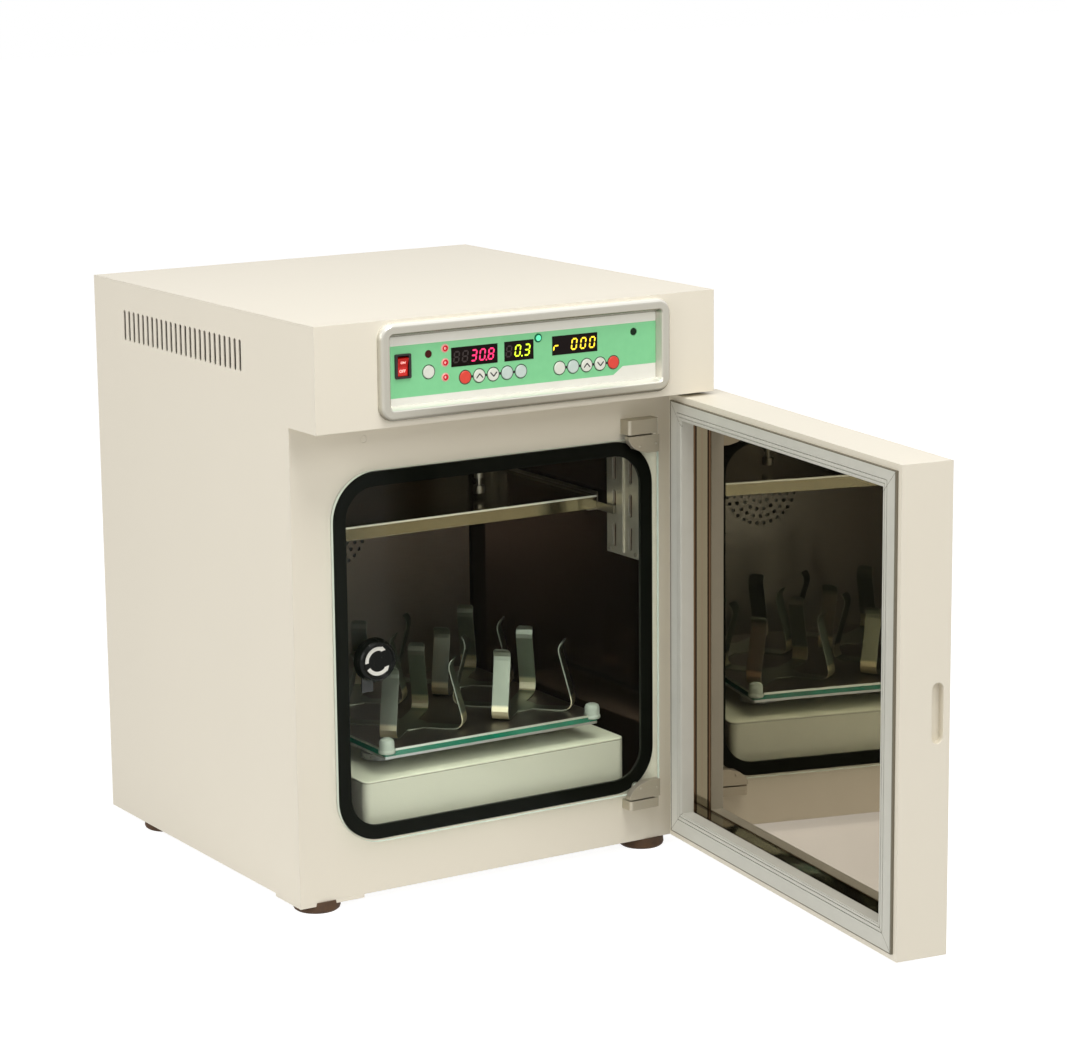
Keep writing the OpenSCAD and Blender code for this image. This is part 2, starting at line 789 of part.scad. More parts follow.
module base_box() {
    r = 9;
    color(cream) place() {
        difference() {
            at_base([0, 0]) translate([0, 0, base_floor_z]) linear_extrude(lid_z0 - base_floor_z)
                round_rect(base_w, base_d, r);
            at_base([0, 0]) translate([0, 0, base_floor_z + base_wall]) linear_extrude(base_h)
                round_rect(base_w - 2 * base_wall, base_d - 2 * base_wall, r - base_wall);
        }
        for (x = [-1, 1], y = [-1, 1]) at_base([x * (base_w / 2 - 25), y * (base_d / 2 - 25)])
            upright(24, floor_z, base_floor_z + 0.5);
        for (p = [main_at, left_at, right_at]) at_base(p) difference() {
            union() {
                upright(2 * post_r, base_floor_z + 0.5, post_z1);
                upright(2 * post_r + 14, base_floor_z + 0.5, base_floor_z + base_wall + 5);
            }
            upright(shaft_d + 2 * fit, base_floor_z + base_wall, post_z1 + 1);
        }
    }
}

module base_lid() {
    r = 9;
    edge = 1.2;
    color(cream) place() difference() {
        union() {
            at_base([0, 0]) translate([0, 0, lid_z0]) linear_extrude(lid_h - edge) round_rect(base_w, base_d, r);
            at_base([0, 0]) translate([0, 0, lid_z0]) linear_extrude(lid_h)
                round_rect(base_w - 2 * edge, base_d - 2 * edge, r - edge);
            at_base([0, 0]) translate([0, 0, lid_z1 - edge])
                swept_frame(base_w - 2 * edge, base_d - 2 * edge, r - edge) intersection() {
                    circle(edge);
                    square(edge);
                }
            at_base([0, 0]) translate([0, 0, lid_z0 - 8]) linear_extrude(8.2) difference() {
                round_rect(base_w - 2 * base_wall - 0.6, base_d - 2 * base_wall - 0.6, r - base_wall);
                round_rect(base_w - 4 * base_wall - 0.6, base_d - 4 * base_wall - 0.6, r - 2 * base_wall);
            }
        }
        for (p = [main_at, left_at, right_at]) at_base(p) upright(shaft_d + 5, lid_z0 - 9, lid_z1 + 1);
    }
}

module drive_motor() {
    color([0.25, 0.25, 0.27]) place() at_base(motor_at) difference() {
        union() {
            upright(2 * motor_r, base_floor_z + base_wall, post_z1 - 1);
            upright(22, base_floor_z + base_wall, post_z1 + 1.5);
        }
        upright(motor_shaft_d + 2 * fit, post_z1 - 20, post_z1 + 3);
    }
}

module pulley(r, shaft) {
    upright(2 * r, pulley_z0, pulley_z0 + pulley_h - 0);
    upright(2 * r + 4, pulley_z0 - 1, pulley_z0);
    upright(2 * r + 4, pulley_z0 + pulley_h, pulley_z0 + pulley_h + 1);
    upright(shaft + 8, pulley_z0 - 2, pulley_z0 + pulley_h + 2);
}

module motor_pulley() {
    color([0.7, 0.7, 0.72]) place() at_base(motor_at) {
        pulley(small_pulley_r, motor_shaft_d);
        upright(motor_shaft_d, post_z1 - 19, pulley_z0 + pulley_h + 3);
    }
}

// Outline of a band round two pulleys on a line along X, the first at the origin
module belt_outline(r1, r2, dist) {
    lean = acos((r1 - r2) / dist);
    circle(r1);
    translate([dist, 0]) circle(r2);
    polygon([[r1 * cos(lean), r1 * sin(lean)], [dist + r2 * cos(lean), r2 * sin(lean)],
        [dist + r2 * cos(lean), -r2 * sin(lean)], [r1 * cos(lean), -r1 * sin(lean)]]);
}

module drive_belt() {
    dist = norm(motor_at - main_at);
    turn = atan2(motor_at[1] - main_at[1], motor_at[0] - main_at[0]);
    color(dark) place() at_base(main_at) rotate([0, 0, turn])
        translate([0, 0, pulley_z0 + 1]) linear_extrude(pulley_h - 2) difference() {
            belt_outline(big_pulley_r + belt_gap + belt_t, small_pulley_r + belt_gap + belt_t, dist);
            belt_outline(big_pulley_r + belt_gap, small_pulley_r + belt_gap, dist);
        }
}

// Shaft, disc and eccentric pin. The pin stands at the front of its orbit.
module crank_body() {
    upright(shaft_d, base_floor_z + base_wall + 1, disc_z0 + 0.5);
    upright(2 * disc_r, disc_z0, disc_z0 + disc_h);
    translate([0, -orbit_r, 0]) upright(pin_d, disc_z0 + disc_h - 0.5, glass_z0 - 1.5);
}

module drive_crank() {
    weight_r = 58;
    color([0.7, 0.7, 0.72]) place() at_base(main_at) {
        crank_body();
        pulley(big_pulley_r, shaft_d);
        // Counterweight opposite the pin
        translate([0, 0, disc_z0]) linear_extrude(disc_h) intersection() {
            circle(weight_r);
            polygon([[0, 0], [-46, 80], [46, 80]]);
        }
    }
}

module idler_left() {
    color([0.7, 0.7, 0.72]) place() at_base(left_at) crank_body();
}

module idler_right() {
    color([0.7, 0.7, 0.72]) place() at_base(right_at) crank_body();
}

// Platform, with the middle of its plates over plat_x and plat_y

module at_corners() {
    for (x = [-1, 1], y = [-1, 1])
        translate([plat_x + x * (plat_w / 2 - corner_in), plat_y + y * (plat_d / 2 - corner_in), 0])
            children();
}

module platform_slab(z, t) {
    translate([plat_x, plat_y, z]) linear_extrude(t) round_rect(plat_w, plat_d, 3);
}

module platform_carrier() {
    color([0.8, 0.82, 0.8]) place() difference() {
        union() {
            platform_slab(plat_z0, carrier_t);
            for (p = [main_at, left_at, right_at]) at_base(p)
                translate([0, -orbit_r, 0]) upright(2 * boss_r, plat_z0 - boss_h, plat_z0 + 0.5);
        }
        for (p = [main_at, left_at, right_at]) at_base(p)
            translate([0, -orbit_r, 0]) upright(pin_d + 2 * fit, plat_z0 - boss_h - 1, glass_z0 + 1);
        at_corners() upright(5.6, plat_z0 - 1, glass_z0 + 1);
        for (x = [-1, 1], y = [-1, 1]) translate([plat_x + x * (plat_w / 2 - 44), plat_y + y * (plat_d / 2 - 26), 0])
            upright(5.5, plat_z0 - 1, glass_z0 + 1);
    }
}

module platform_glass() {
    color([0.1, 0.6, 0.45, 0.6]) place() difference() {
        platform_slab(glass_z0, sheet_glass_t);
        at_corners() {
            upright(5.6, glass_z0 - 1, plate_z0 + 1);
            upright(corner_flange_d + 0.6, glass_z0 + 3, plate_z0 + 1);
        }
    }
}

module platform_plate() {
    color(steel) place() difference() {
        platform_slab(plate_z0, plate_t);
        at_corners() upright(corner_flange_d + 0.6, plate_z0 - 1, plat_z1 + 1);
    }
}

module corner_posts() {
    head_z1 = glass_z0 + 21;
    flange_z0 = glass_z0 + 3.2;
    color("white") place() at_corners() {
        upright(5, plat_z0, flange_z0 + 1);
        translate([0, 0, flange_z0]) rotate_extrude()
            polygon([[0, 0], [corner_flange_d / 2 - 0.8, 0], [corner_flange_d / 2, 1],
                [corner_flange_d / 2, 3], [corner_head_d / 2, 4.5], [corner_head_d / 2, 12.5],
                [corner_head_d / 2 - 1.2, 15.8], [corner_head_d / 2 - 4, 17.4],
                [0, head_z1 - flange_z0]]);
    }
}

// Path of a clamp arm in distance from the flask's middle and height above the plate
arm_path = [[20, 0.6], [flask_d / 2 - 4, 0.6], [flask_d / 2 + 0.5, 1.6], [flask_d / 2 + 4, 4],
    [flask_d / 2 + 6, 7.6], [flask_d / 2 + 6.5, 12], [flask_d / 2 + 5.6, 16.5],
    [flask_d / 2 + 4.2, 22], [flask_d / 2 - 8.5, 70], [flask_d / 2 - 8.8, 75],
    [flask_d / 2 - 7, 80], [flask_d / 2 - 4, 84]];
arm_t = 1.2;
arm_w = 20;
arm_r = 5;

// A strip of even thickness along a path, as one outline
function side_step(path, i) = let (
        a = path[max(i - 1, 0)],
        b = path[min(i + 1, len(path) - 1)],
        d = (b - a) / norm(b - a)
    ) [-d[1], d[0]];
function strip(path, t) = concat(
    [for (i = [0 : len(path) - 1]) path[i] + side_step(path, i) * t / 2],
    [for (i = [len(path) - 1 : -1 : 0]) path[i] - side_step(path, i) * t / 2]);

module clamp() {
    arm_h = 84;
    for (a = [45 : 90 : 315]) rotate([0, 0, a]) intersection() {
        translate([0, arm_w / 2, 0]) rotate([90, 0, 0]) linear_extrude(arm_w)
            polygon(strip(arm_path, arm_t));
        // Rounded end of the strip
        rotate([90, 0, 90]) linear_extrude(flask_d) union() {
            translate([-arm_w / 2, -1]) square([arm_w, arm_h - arm_r + 1]);
            translate([0, arm_h - 10]) round_rect(arm_w, 21, arm_r);
        }
    }
    cylinder(d = 52, h = arm_t);
}

module flask_clamps() {
    color([0.75, 0.75, 0.72]) place()
        for (x = [-1, 1], y = [-1, 1])
            translate([plat_x + 5 + x * clamp_pitch_x / 2, plat_y + 7 + y * clamp_pitch_y / 2, plat_z1])
                clamp();
}

// Glass door

// Large corners on the latch side, small ones under the hinge leaves
module pane_outline() {
    half = pane_w / 2;
    translate([pane_x, open_z]) {
        round_rect(pane_w, pane_h, pane_r);
        translate([half / 2, 0]) round_rect(half, pane_h, pane_hinge_r);
    }
}

module both_ends() {
    children();
    translate([0, 0, 2 * open_z]) mirror([0, 0, 1]) children();
}

stud_at = [[pane_hinge_x - 23, leaf_z1 - 12.5], [pane_hinge_x - 9, leaf_z1 - 13]];
stud_d = 5;

module glass_pane() {
    color([0.7, 0.9, 0.85, 0.35]) place() difference() {
        on_front(pane_y, pane_t) pane_outline();
        translate([latch_x, 0, latch_z]) lying(14, pane_y - 1, seal_y + 1);
        both_ends() for (p = stud_at) translate([p[0], 0, p[1]])
            lying(stud_d + 1.4, pane_y - 1, seal_y + 1);
    }
}

module glass_seal() {
    outer_r = pane_r - 2;
    nut_room = 10.5;
    color(dark) place() difference() {
        on_front(seal_y, seal_t) translate([seal_x, open_z]) difference() {
            round_rect(seal_out_w, seal_h, outer_r);
            round_rect(seal_out_w - 2 * seal_w, seal_h - 2 * seal_w, outer_r - seal_w);
        }
        both_ends() for (p = stud_at) translate([p[0], 0, p[1]])
            lying(nut_room, seal_y - 1, seal_y + seal_t + 1);
    }
}

// Leaf of the upper hinge, with its lower left corner cut
module leaf_outline() {
    x0 = pane_hinge_x + leaf_out - leaf_w;
    z0 = leaf_z1 - leaf_h;
    polygon([[x0, leaf_z1], [x0, leaf_z1 - 4.5], [x0 + 3, leaf_z1 - 9.5], [x0 + 8, leaf_z1 - 14],
        [x0 + 14.5, leaf_z1 - 17.5], [x0 + 25, z0], [x0 + leaf_w, z0], [x0 + leaf_w, leaf_z1]]);
}

module glass_hinges() {
    bush_d = 13.6;
    washer_h = leaf_gap - seat;
    color(steel) place() {
        both_ends() difference() {
            union() {
                on_front(leaf_front, pane_y - leaf_front) leaf_outline();
                translate([pane_hinge_x, pane_hinge_y, 0]) upright(9, leaf_z1 - 1, leaf_z1 + washer_h);
                for (p = stud_at) translate([p[0], 0, p[1]]) {
                    lying(stud_d, pane_y - 1, seal_y + 1);
                    lying(8.5, seal_y, seal_y + 2.2);
                }
            }
            translate([pane_hinge_x, pane_hinge_y, 0])
                upright(glass_pin_d + 2 * fit, leaf_z1 - leaf_h - 1, leaf_z1 + leaf_gap);
        }
        translate([latch_x, 0, latch_z]) difference() {
            union() {
                lying(bush_d, pane_y - 0.2, seal_y + 0.2);
                lying(19, seal_y, seal_y + 1.2);
            }
            lying(spindle_d + 2 * fit, pane_y - 2, seal_y + 4);
        }
    }
}

module latch_knob() {
    color(dark) place() translate([latch_x, 0, latch_z]) {
        translate([0, pane_y - 0.4, 0]) rotate([90, 0, 0]) rotate_extrude()
            polygon([[0, 0], [knob_d / 2 - 0.5, 0], [knob_d / 2, 1], [knob_d / 2 - 0.4, 5],
                [knob_d / 2 - 2.2, knob_h - 3], [knob_d / 2 - 3.6, knob_h - 1], [knob_d / 2 - 5, knob_h],
                [knob_d / 2 - 6, knob_h - 0.4], [knob_d / 2 - 7, knob_h - 2.4],
                [knob_d / 2 - 7.6, knob_h - 3], [0, knob_h - 3]]);
        lying(spindle_d, pane_y - 1, cam_y);
    }
}

// The cam hangs down when released. A quarter turn carries its tip behind the front frame.
module latch_cam() {
    reach = opening_w / 2 + latch_x + 7;
    color(steel) place() translate([latch_x, 0, latch_z]) {
        on_front(cam_y, cam_t) union() {
            circle(9);
            translate([-7, -reach]) square([14, reach]);
        }
        lying(11, cam_y + cam_t, cam_y + cam_t + 3);
    }
}

// Hinges on the cabinet side

module glass_hinge_block(h) {
    block_d = 18;
    r = 4;
    translate([pane_hinge_x + leaf_out - leaf_w, y_frame - block_d, leaf_z1 + leaf_gap])
        linear_extrude(h) union() {
            translate([r, 0]) square([leaf_w - 2 * r, block_d]);
            translate([0, r]) square([leaf_w, block_d - r]);
            for (x = [r, leaf_w - r]) translate([x, r]) circle(r);
        }
    translate([pane_hinge_x, pane_hinge_y, 0])
        upright(glass_pin_d, leaf_z1 - leaf_h + 1, leaf_z1 + leaf_gap + 1);
}

module hinge_brackets() {
    washer = 1;
    block_z1 = door_z0 - seat - washer;
    color(steel) place() {
        glass_hinge_block(block_h_top);
        translate([0, 0, 2 * open_z]) mirror([0, 0, 1]) glass_hinge_block(block_h_low);
        // Block on the front frame, with the pin and washer that carry the outer door
        box(axis_x - 10, side_x - 0.5, axis_y - 14, y_frame, z_low + 1, block_z1);
        translate([axis_x, axis_y, 0]) {
            upright(15, block_z1, door_z0 - seat);
            upright(hinge_pin_d, z_low + 2, door_z0 + hinge_pin_in);
        }
        // Upper pin, hung from a plate under the control head
        box(axis_x - 22, side_x - 0.5, axis_y - 14, y_frame, z_head - 2.5, z_head);
        translate([axis_x, axis_y, 0]) upright(hinge_pin_d, door_z1 - hinge_pin_in, z_head - 1);
    }
}

// Outer door, drawn closed and carried open

module door_slab(inset, y0, y1) {
    box(-side_x + inset, side_x - inset, y0, y1, door_z0 + inset, door_z1 - inset);
}

door_front = door_face - door_t;
lining_t = 1;

module door_shell() {
    boss = 19;
    color(cream) place() opened() difference() {
        union() {
            difference() {
                door_slab(0, door_front, door_face);
                door_slab(sheet, door_front + sheet, door_face - sheet);
                box(-recess_x, recess_x, door_face - sheet - 1, door_face + 1, recess_z0, recess_z1);
            }
            for (z = [[door_z0, door_z0 + hinge_pin_in + 4], [door_z1 - hinge_pin_in - 4, door_z1]])
                intersection() {
                    translate([axis_x, axis_y, 0]) upright(boss, z[0], z[1]);
                    door_slab(0, door_front, door_face);
                }
            // Cup of the finger recess in the free edge
            on_side(-side_x, pull_d + sheet) translate([door_face - pull_back, open_z - 1])
                slot(pull_w + 2 * sheet, pull_h + 2 * sheet);
        }
        on_side(-side_x - 1, pull_d + 1) translate([door_face - pull_back, open_z - 1])
            slot(pull_w, pull_h);
        translate([axis_x, axis_y, 0]) {
            upright(hinge_pin_d + 2 * fit, door_z0 - 1, door_z0 + hinge_pin_in + 1);
            upright(hinge_pin_d + 2 * fit, door_z1 - hinge_pin_in - 1, door_z1 + 1);
        }
    }
}

module door_liner() {
    color(steel) place() opened() difference() {
        union() {
            box(-recess_x, recess_x, door_face - recess_d - lining_t, door_face,
                recess_z0, recess_z1);
            box(-recess_x - 14, recess_x + 14, door_face - sheet - lining_t, door_face - sheet,
                recess_z0 - 14, recess_z1 + 14);
        }
        box(-recess_x + lining_t, recess_x - lining_t, door_face - recess_d, door_face + 1,
            recess_z0 + lining_t, recess_z1 - lining_t);
    }
}

// Magnetic gasket: a flat strip with the folds of a bellows, and a lip that lines the recess
module door_gasket() {
    edge_in = 7;
    deep = 14;
    tip = 2.8;
    lip = 0.8;
    step = 1.2;
    x0 = -side_x + edge_in;
    x1 = side_x - edge_in;
    z0 = door_z0 + edge_in;
    z1 = door_z1 - edge_in;
    in_x = recess_x - lining_t - lip;
    in_z0 = recess_z0 + lining_t + lip;
    in_z1 = recess_z1 - lining_t - lip;
    color([0.8, 0.8, 0.78]) place() opened() {
        difference() {
            box(x0, x1, door_face, door_face + tip, z0, z1);
            box(-in_x, in_x, door_face - 1, door_face + tip + 1, in_z0, in_z1);
            box(-in_x - step, in_x + step, door_face + tip - step, door_face + tip + 1,
                in_z0 - step, in_z1 + step);
            // Grooves of the bellows
            for (k = [3.5, 8]) difference() {
                box(-in_x - k - 1, in_x + k + 1, door_face + tip - 1.4, door_face + tip + 1,
                    in_z0 - k - 1, in_z1 + k + 1);
                box(-in_x - k, in_x + k, door_face + tip - 3, door_face + tip + 2,
                    in_z0 - k, in_z1 + k);
            }
        }
        difference() {
            box(-recess_x + lining_t, recess_x - lining_t, door_face - deep, door_face + 0.5,
                recess_z0 + lining_t, recess_z1 - lining_t);
            box(-in_x, in_x, door_face - deep - 1, door_face + 1, in_z0, in_z1);
        }
    }
}

module door_insulation() {
    color([0.9, 0.85, 0.6]) place() opened() difference() {
        door_slab(sheet, door_front + sheet, door_face - sheet - lining_t - 0.1);
        box(-recess_x - 0.1, recess_x + 0.1, door_face - recess_d - lining_t - 0.1, door_face,
            recess_z0 - 0.1, recess_z1 + 0.1);
        for (z = [door_z0, door_z1]) translate([axis_x, axis_y, z])
            cylinder(d = 22, h = 2 * (hinge_pin_in + 5), center = true);
        on_side(-side_x, pull_d + sheet + 0.3) translate([door_face - pull_back, open_z - 1])
            slot(pull_w + 2 * sheet + 1, pull_h + 2 * sheet + 1);
    }
}

// Services at the back

module power_inlet() {
    color(dark) place() translate([inlet_at[0], 0, inlet_at[1]]) {
        difference() {
            union() {
                on_front(cab_d - 26, 26) square([27.4, 19.8], center = true);
                on_front(cab_d, 3) round_rect(50, 26, 3);
            }
            on_front(cab_d - 17, 21) square([24, 16], center = true);
        }
        for (x = [-7, 0, 7]) on_front(cab_d - 18, 14)
            translate([x, x == 0 ? 2.5 : -2.5]) square([2, 5], center = true);
    }
}

module gas_inlet() {
    color([0.78, 0.65, 0.35]) place() translate([gas_at[0], cab_d - 16, gas_at[1]])
        rotate([-90, 0, 0]) rotate_extrude()
            polygon([[1.8, 0], [4.5, 0], [4.5, 10], [7, 10], [7, 16], [10, 16], [10, 20], [4, 20],
                [4, 23], [5, 24.2], [4, 27], [5, 28.2], [4, 31], [4, 16 + barb_len],
                [1.8, 16 + barb_len]]);
}

module power_supply() {
    color([0.6, 0.6, 0.6]) place() {
        box(40, 150, cab_d - 172, cab_d - 72, z_head + sheet + 4, z_head + sheet + 44);
        for (x = [48, 142], y = [cab_d - 164, cab_d - 80]) translate([x, y, 0])
            upright(8, z_head + sheet, z_head + sheet + 4.2);
    }
}

cabinet_shell();
front_frame();
head_front();
top_cover();
back_panel();
base_pan();
feet();
bezel();
control_panel();
display_windows();
indicator_lamps();
control_board();
switch_housing();
switch_rocker();
key(0);  // key_1
key(1);  // key_2
key(2);  // key_3
key(3);  // key_4
key(4);  // key_5
key(5);  // key_6
key(6);  // key_7
key(7);  // key_8
key(8);  // key_9
key(9);  // key_10
key(10);  // key_11
liner();
insulation();
duct_cover();
fan_motor();
fan_wheel();
sensor_probe();
wall_brackets();
shelf_rails();
shelf();
base_box();
base_lid();
drive_motor();
motor_pulley();
drive_belt();
drive_crank();
idler_left();
idler_right();
platform_carrier();
platform_glass();
platform_plate();
corner_posts();
flask_clamps();
glass_pane();
glass_seal();
glass_hinges();
latch_knob();
latch_cam();
hinge_brackets();
door_shell();
door_liner();
door_gasket();
door_insulation();
power_inlet();
gas_inlet();
power_supply();
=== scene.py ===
# A benchtop incubated shaker: a painted steel cabinet with a heated steel chamber, a glass inner door, an
# insulated outer door that stands open, and an orbiting platform with sprung clamps.
import bpy
import json
import math
from mathutils import Matrix, Vector


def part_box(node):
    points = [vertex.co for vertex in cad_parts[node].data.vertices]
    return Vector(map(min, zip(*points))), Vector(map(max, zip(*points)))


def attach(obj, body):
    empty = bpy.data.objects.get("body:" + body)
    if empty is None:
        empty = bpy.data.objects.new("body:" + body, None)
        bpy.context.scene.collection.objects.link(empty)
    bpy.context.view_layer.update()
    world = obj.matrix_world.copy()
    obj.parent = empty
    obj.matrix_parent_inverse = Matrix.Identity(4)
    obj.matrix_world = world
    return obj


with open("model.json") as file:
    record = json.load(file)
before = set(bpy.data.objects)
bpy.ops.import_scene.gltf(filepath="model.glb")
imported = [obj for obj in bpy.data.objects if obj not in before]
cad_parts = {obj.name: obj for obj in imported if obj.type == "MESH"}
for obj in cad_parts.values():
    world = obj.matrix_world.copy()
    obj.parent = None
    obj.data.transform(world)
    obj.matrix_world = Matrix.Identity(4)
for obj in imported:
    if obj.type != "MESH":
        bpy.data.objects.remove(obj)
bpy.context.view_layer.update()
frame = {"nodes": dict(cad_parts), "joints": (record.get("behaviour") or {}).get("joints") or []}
nodes = frame["nodes"]

# Casing
# Folded sheet steel, welded at the sides and screwed together, sprayed with cream enamel and baked. The
# enamel has the faint orange peel of sprayed paint, and it is rounded and thin over the folded edges,
# where it is lightened as a painted highlight.
mm = 0.001
casing_width, casing_depth = 520, 552
middle_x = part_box("cabinet_shell")[0].x + casing_width / 2 * mm
front_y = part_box("head_front")[0].y


def at(x, y, z):
    """A point in mm from the middle of the cabinet, the front of the head and the bench top."""
    return Vector((middle_x + x * mm, front_y + y * mm, z * mm))


def srgb(red, green, blue):
    """A colour as a screen shows it, 0 to 255, in the linear form that a shader takes."""
    linear = [c / 255 / 12.92 if c < 11 else ((c / 255 + 0.055) / 1.055) ** 2.4 for c in (red, green, blue)]
    return (*linear, 1)


class Wire:
    """A socket of a finish, for use in sums."""

    def __init__(self, finish, socket):
        self.finish = finish
        self.socket = socket

    def maths(self, operation, *terms):
        return self.finish.node("ShaderNodeMath", {"operation": operation}, dict(enumerate(terms)))

    def __add__(self, other):
        return self.maths("ADD", self, other)

    def __radd__(self, other):
        return self.maths("ADD", other, self)

    def __sub__(self, other):
        return self.maths("SUBTRACT", self, other)

    def __rsub__(self, other):
        return self.maths("SUBTRACT", other, self)

    def __mul__(self, other):
        return self.maths("MULTIPLY", self, other)

    def __rmul__(self, other):
        return self.maths("MULTIPLY", other, self)

    def __truediv__(self, other):
        return self.maths("DIVIDE", self, other)

    def __lt__(self, other):
        return self.maths("LESS_THAN", self, other)

    def __gt__(self, other):
        return self.maths("GREATER_THAN", self, other)

    def __abs__(self):
        return self.maths("ABSOLUTE", self)

    def root(self):
        return self.maths("SQRT", self)

    def least(self, other):
        return self.maths("MINIMUM", self, other)

    def most(self, other):
        return self.maths("MAXIMUM", self, other)


class Finish:
    """A material whose colour, gloss and relief come from its place on the object."""

    def __init__(self, name, fixed={}):
        self.material = bpy.data.materials.new(name)
        self.material.use_nodes = True
        self.nodes = self.material.node_tree.nodes
        self.links = self.material.node_tree.links
        self.shader = self.nodes["Principled BSDF"]
        for label, value in fixed.items():
            self.shader.inputs[label].default_value = value
        self.spot = self.node("ShaderNodeTexCoord", out="Object")

    def join(self, socket, value):
        if isinstance(value, Wire):
            self.links.new(value.socket, socket)
        else:
            socket.default_value = value

    def node(self, kind, settings={}, values={}, out=0):
        made = self.nodes.new(kind)
        for label, value in settings.items():
            setattr(made, label, value)
        for label, value in values.items():
            self.join(made.inputs[label], value)
        return Wire(self, made.outputs[out])

    def feed(self, label, value):
        self.join(self.shader.inputs[label], value)

    def mix(self, share, first, second):
        return self.node("ShaderNodeMix", {"data_type": "RGBA"}, {0: share, 6: first, 7: second}, out=2)

    def blend(self, share, first, second):
        """Two shaders mixed by a share."""
        return self.node("ShaderNodeMixShader", {}, {0: share, 1: first, 2: second})

    def vary(self, share, dark, light, rough, rise):
        """Colour runs from dark to light with the share, and the roughness rises with it."""
        self.feed("Base Color", self.mix(share, dark, light))
        self.feed("Roughness", rough + share * rise)

    def cloud(self, scale, detail=2, stretch=(1, 1, 1)):
        place = self.node("ShaderNodeMapping", {}, {"Vector": self.spot, "Scale": stretch})
        return self.node("ShaderNodeTexNoise", {}, {"Vector": place, "Scale": scale, "Detail": detail})

    def relief(self, height, depth, strength=1.0, over=None):
        values = {"Height": height, "Distance": depth, "Strength": strength}
        if over:
            values["Normal"] = over
        return self.node("ShaderNodeBump", {}, values)

    def rounded(self, radius):
        return self.node("ShaderNodeBevel", {"samples": 4}, {"Radius": radius})

    def edges(self, softened, gain):
        """1 on the rounded edges that the softened normal rounds, 0 on the flats: where the finishes paint a
        highlight.
        """
        flat = self.node("ShaderNodeNewGeometry", out="Normal")
        likeness = self.node("ShaderNodeVectorMath", {"operation": "DOT_PRODUCT"},
                             {0: softened, 1: flat}, out="Value")
        return ((1 - likeness) * gain).least(1)

    def part(self, vector, axis):
        """The X, Y or Z part of a vector."""
        return self.node("ShaderNodeSeparateXYZ", {}, {0: vector}, out=axis)

    def facing(self, axis):
        """How much a face looks along an axis, from -1 to 1."""
        return self.part(self.node("ShaderNodeNewGeometry", out="Normal"), axis)

    def along(self, axis):
        """Place along an axis in mm."""
        return self.part(self.spot, axis) / mm

    def across(self, axis, centre):
        """Distance in mm along an axis from a point in mm."""
        return (self.part(self.spot, axis) - at(*centre)["XYZ".index(axis)]) / mm

    def coat(self, *names):
        for name in names:
            nodes[name].data.materials.clear()
            nodes[name].data.materials.append(self.material)


enamel = Finish("cream_enamel")
tone = enamel.cloud(4, 3)
soft = enamel.rounded(0.8 * mm)
paint = enamel.mix(tone, srgb(229, 223, 207), srgb(235, 229, 214))
# Painted highlight: the rounded edges are lightened.
enamel.feed("Base Color", enamel.mix(enamel.edges(soft, 3), paint, srgb(246, 240, 228)))
enamel.feed("Roughness", 0.36 + tone * 0.12)
enamel.feed("Normal", enamel.relief(enamel.cloud(1300, 2), 0.05 * mm, 0.25, soft))
enamel.coat("cabinet_shell", "front_frame", "head_front", "top_cover", "back_panel", "base_pan")


def alone(piece):
    """Only this piece is selected and active."""
    bpy.ops.object.select_all(action="DESELECT")
    piece.select_set(True)
    bpy.context.view_layer.objects.active = piece


def fix(piece):
    """Puts the place, turn and size of a piece into its mesh, and leaves only it selected."""
    alone(piece)
    bpy.ops.object.transform_apply(location=True, rotation=True, scale=True)


def settle(piece, name, body, finish):
    """Gives a finished piece its name, its material and the body it rides on."""
    fix(piece)
    piece.name = name
    piece.data.name = name
    piece.data.materials.clear()
    piece.data.materials.append(finish.material)
    bpy.ops.object.shade_smooth_by_angle(angle=math.radians(35))
    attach(piece, body)


def spread(piece, places):
    """Copies of a piece, one for each placing matrix, joined into one mesh."""
    fix(piece)
    copies = []
    for place in places:
        copy = bpy.data.objects.new("copy", piece.data.copy())
        bpy.context.scene.collection.objects.link(copy)
        copy.data.transform(place)
        copies.append(copy)
    bpy.data.objects.remove(piece)
    bpy.ops.object.select_all(action="DESELECT")
    for copy in copies:
        copy.select_set(True)
    bpy.context.view_layer.objects.active = copies[0]
    bpy.ops.object.join()
    return bpy.context.view_layer.objects.active


def pick(piece, wanted):
    """Selects the faces whose middle and normal are wanted, and stays in edit mode."""
    alone(piece)
    bpy.ops.object.mode_set(mode="EDIT")
    bpy.ops.mesh.select_mode(type="FACE")
    bpy.ops.mesh.select_all(action="DESELECT")
    bpy.ops.object.mode_set(mode="OBJECT")
    for face in piece.data.polygons:
        face.select = wanted(face.center, face.normal)
    bpy.ops.object.mode_set(mode="EDIT")


def pan_screw(radius, height):
    """A cross-head screw that looks along +Z, with its seat at the origin."""
    slot_long, slot_wide, slot_deep, skew = radius * 1.15, radius * 0.26, height * 0.9, 0.4
    bpy.ops.object.select_all(action="DESELECT")
    bpy.ops.mesh.primitive_cylinder_add(vertices=24, radius=radius, depth=height, location=(0, 0, height / 2))
    head = bpy.context.object
    fix(head)
    pick(head, lambda middle, normal: normal.z > 0.9)
    bpy.ops.mesh.bevel(offset=height * 0.55, segments=3, affect="EDGES")
    bpy.ops.object.mode_set(mode="OBJECT")
    for turn in (0, math.pi / 2):
        bpy.ops.mesh.primitive_cube_add(size=1, location=(0, 0, height), rotation=(0, 0, turn + skew))
        blade = bpy.context.object
        blade.scale = (slot_long, slot_wide, slot_deep)
        alone(head)
        cut = head.modifiers.new("drive", "BOOLEAN")
        cut.operation = "DIFFERENCE"
        cut.object = blade
        bpy.ops.object.modifier_apply(modifier="drive")
        bpy.data.objects.remove(blade)
    return head


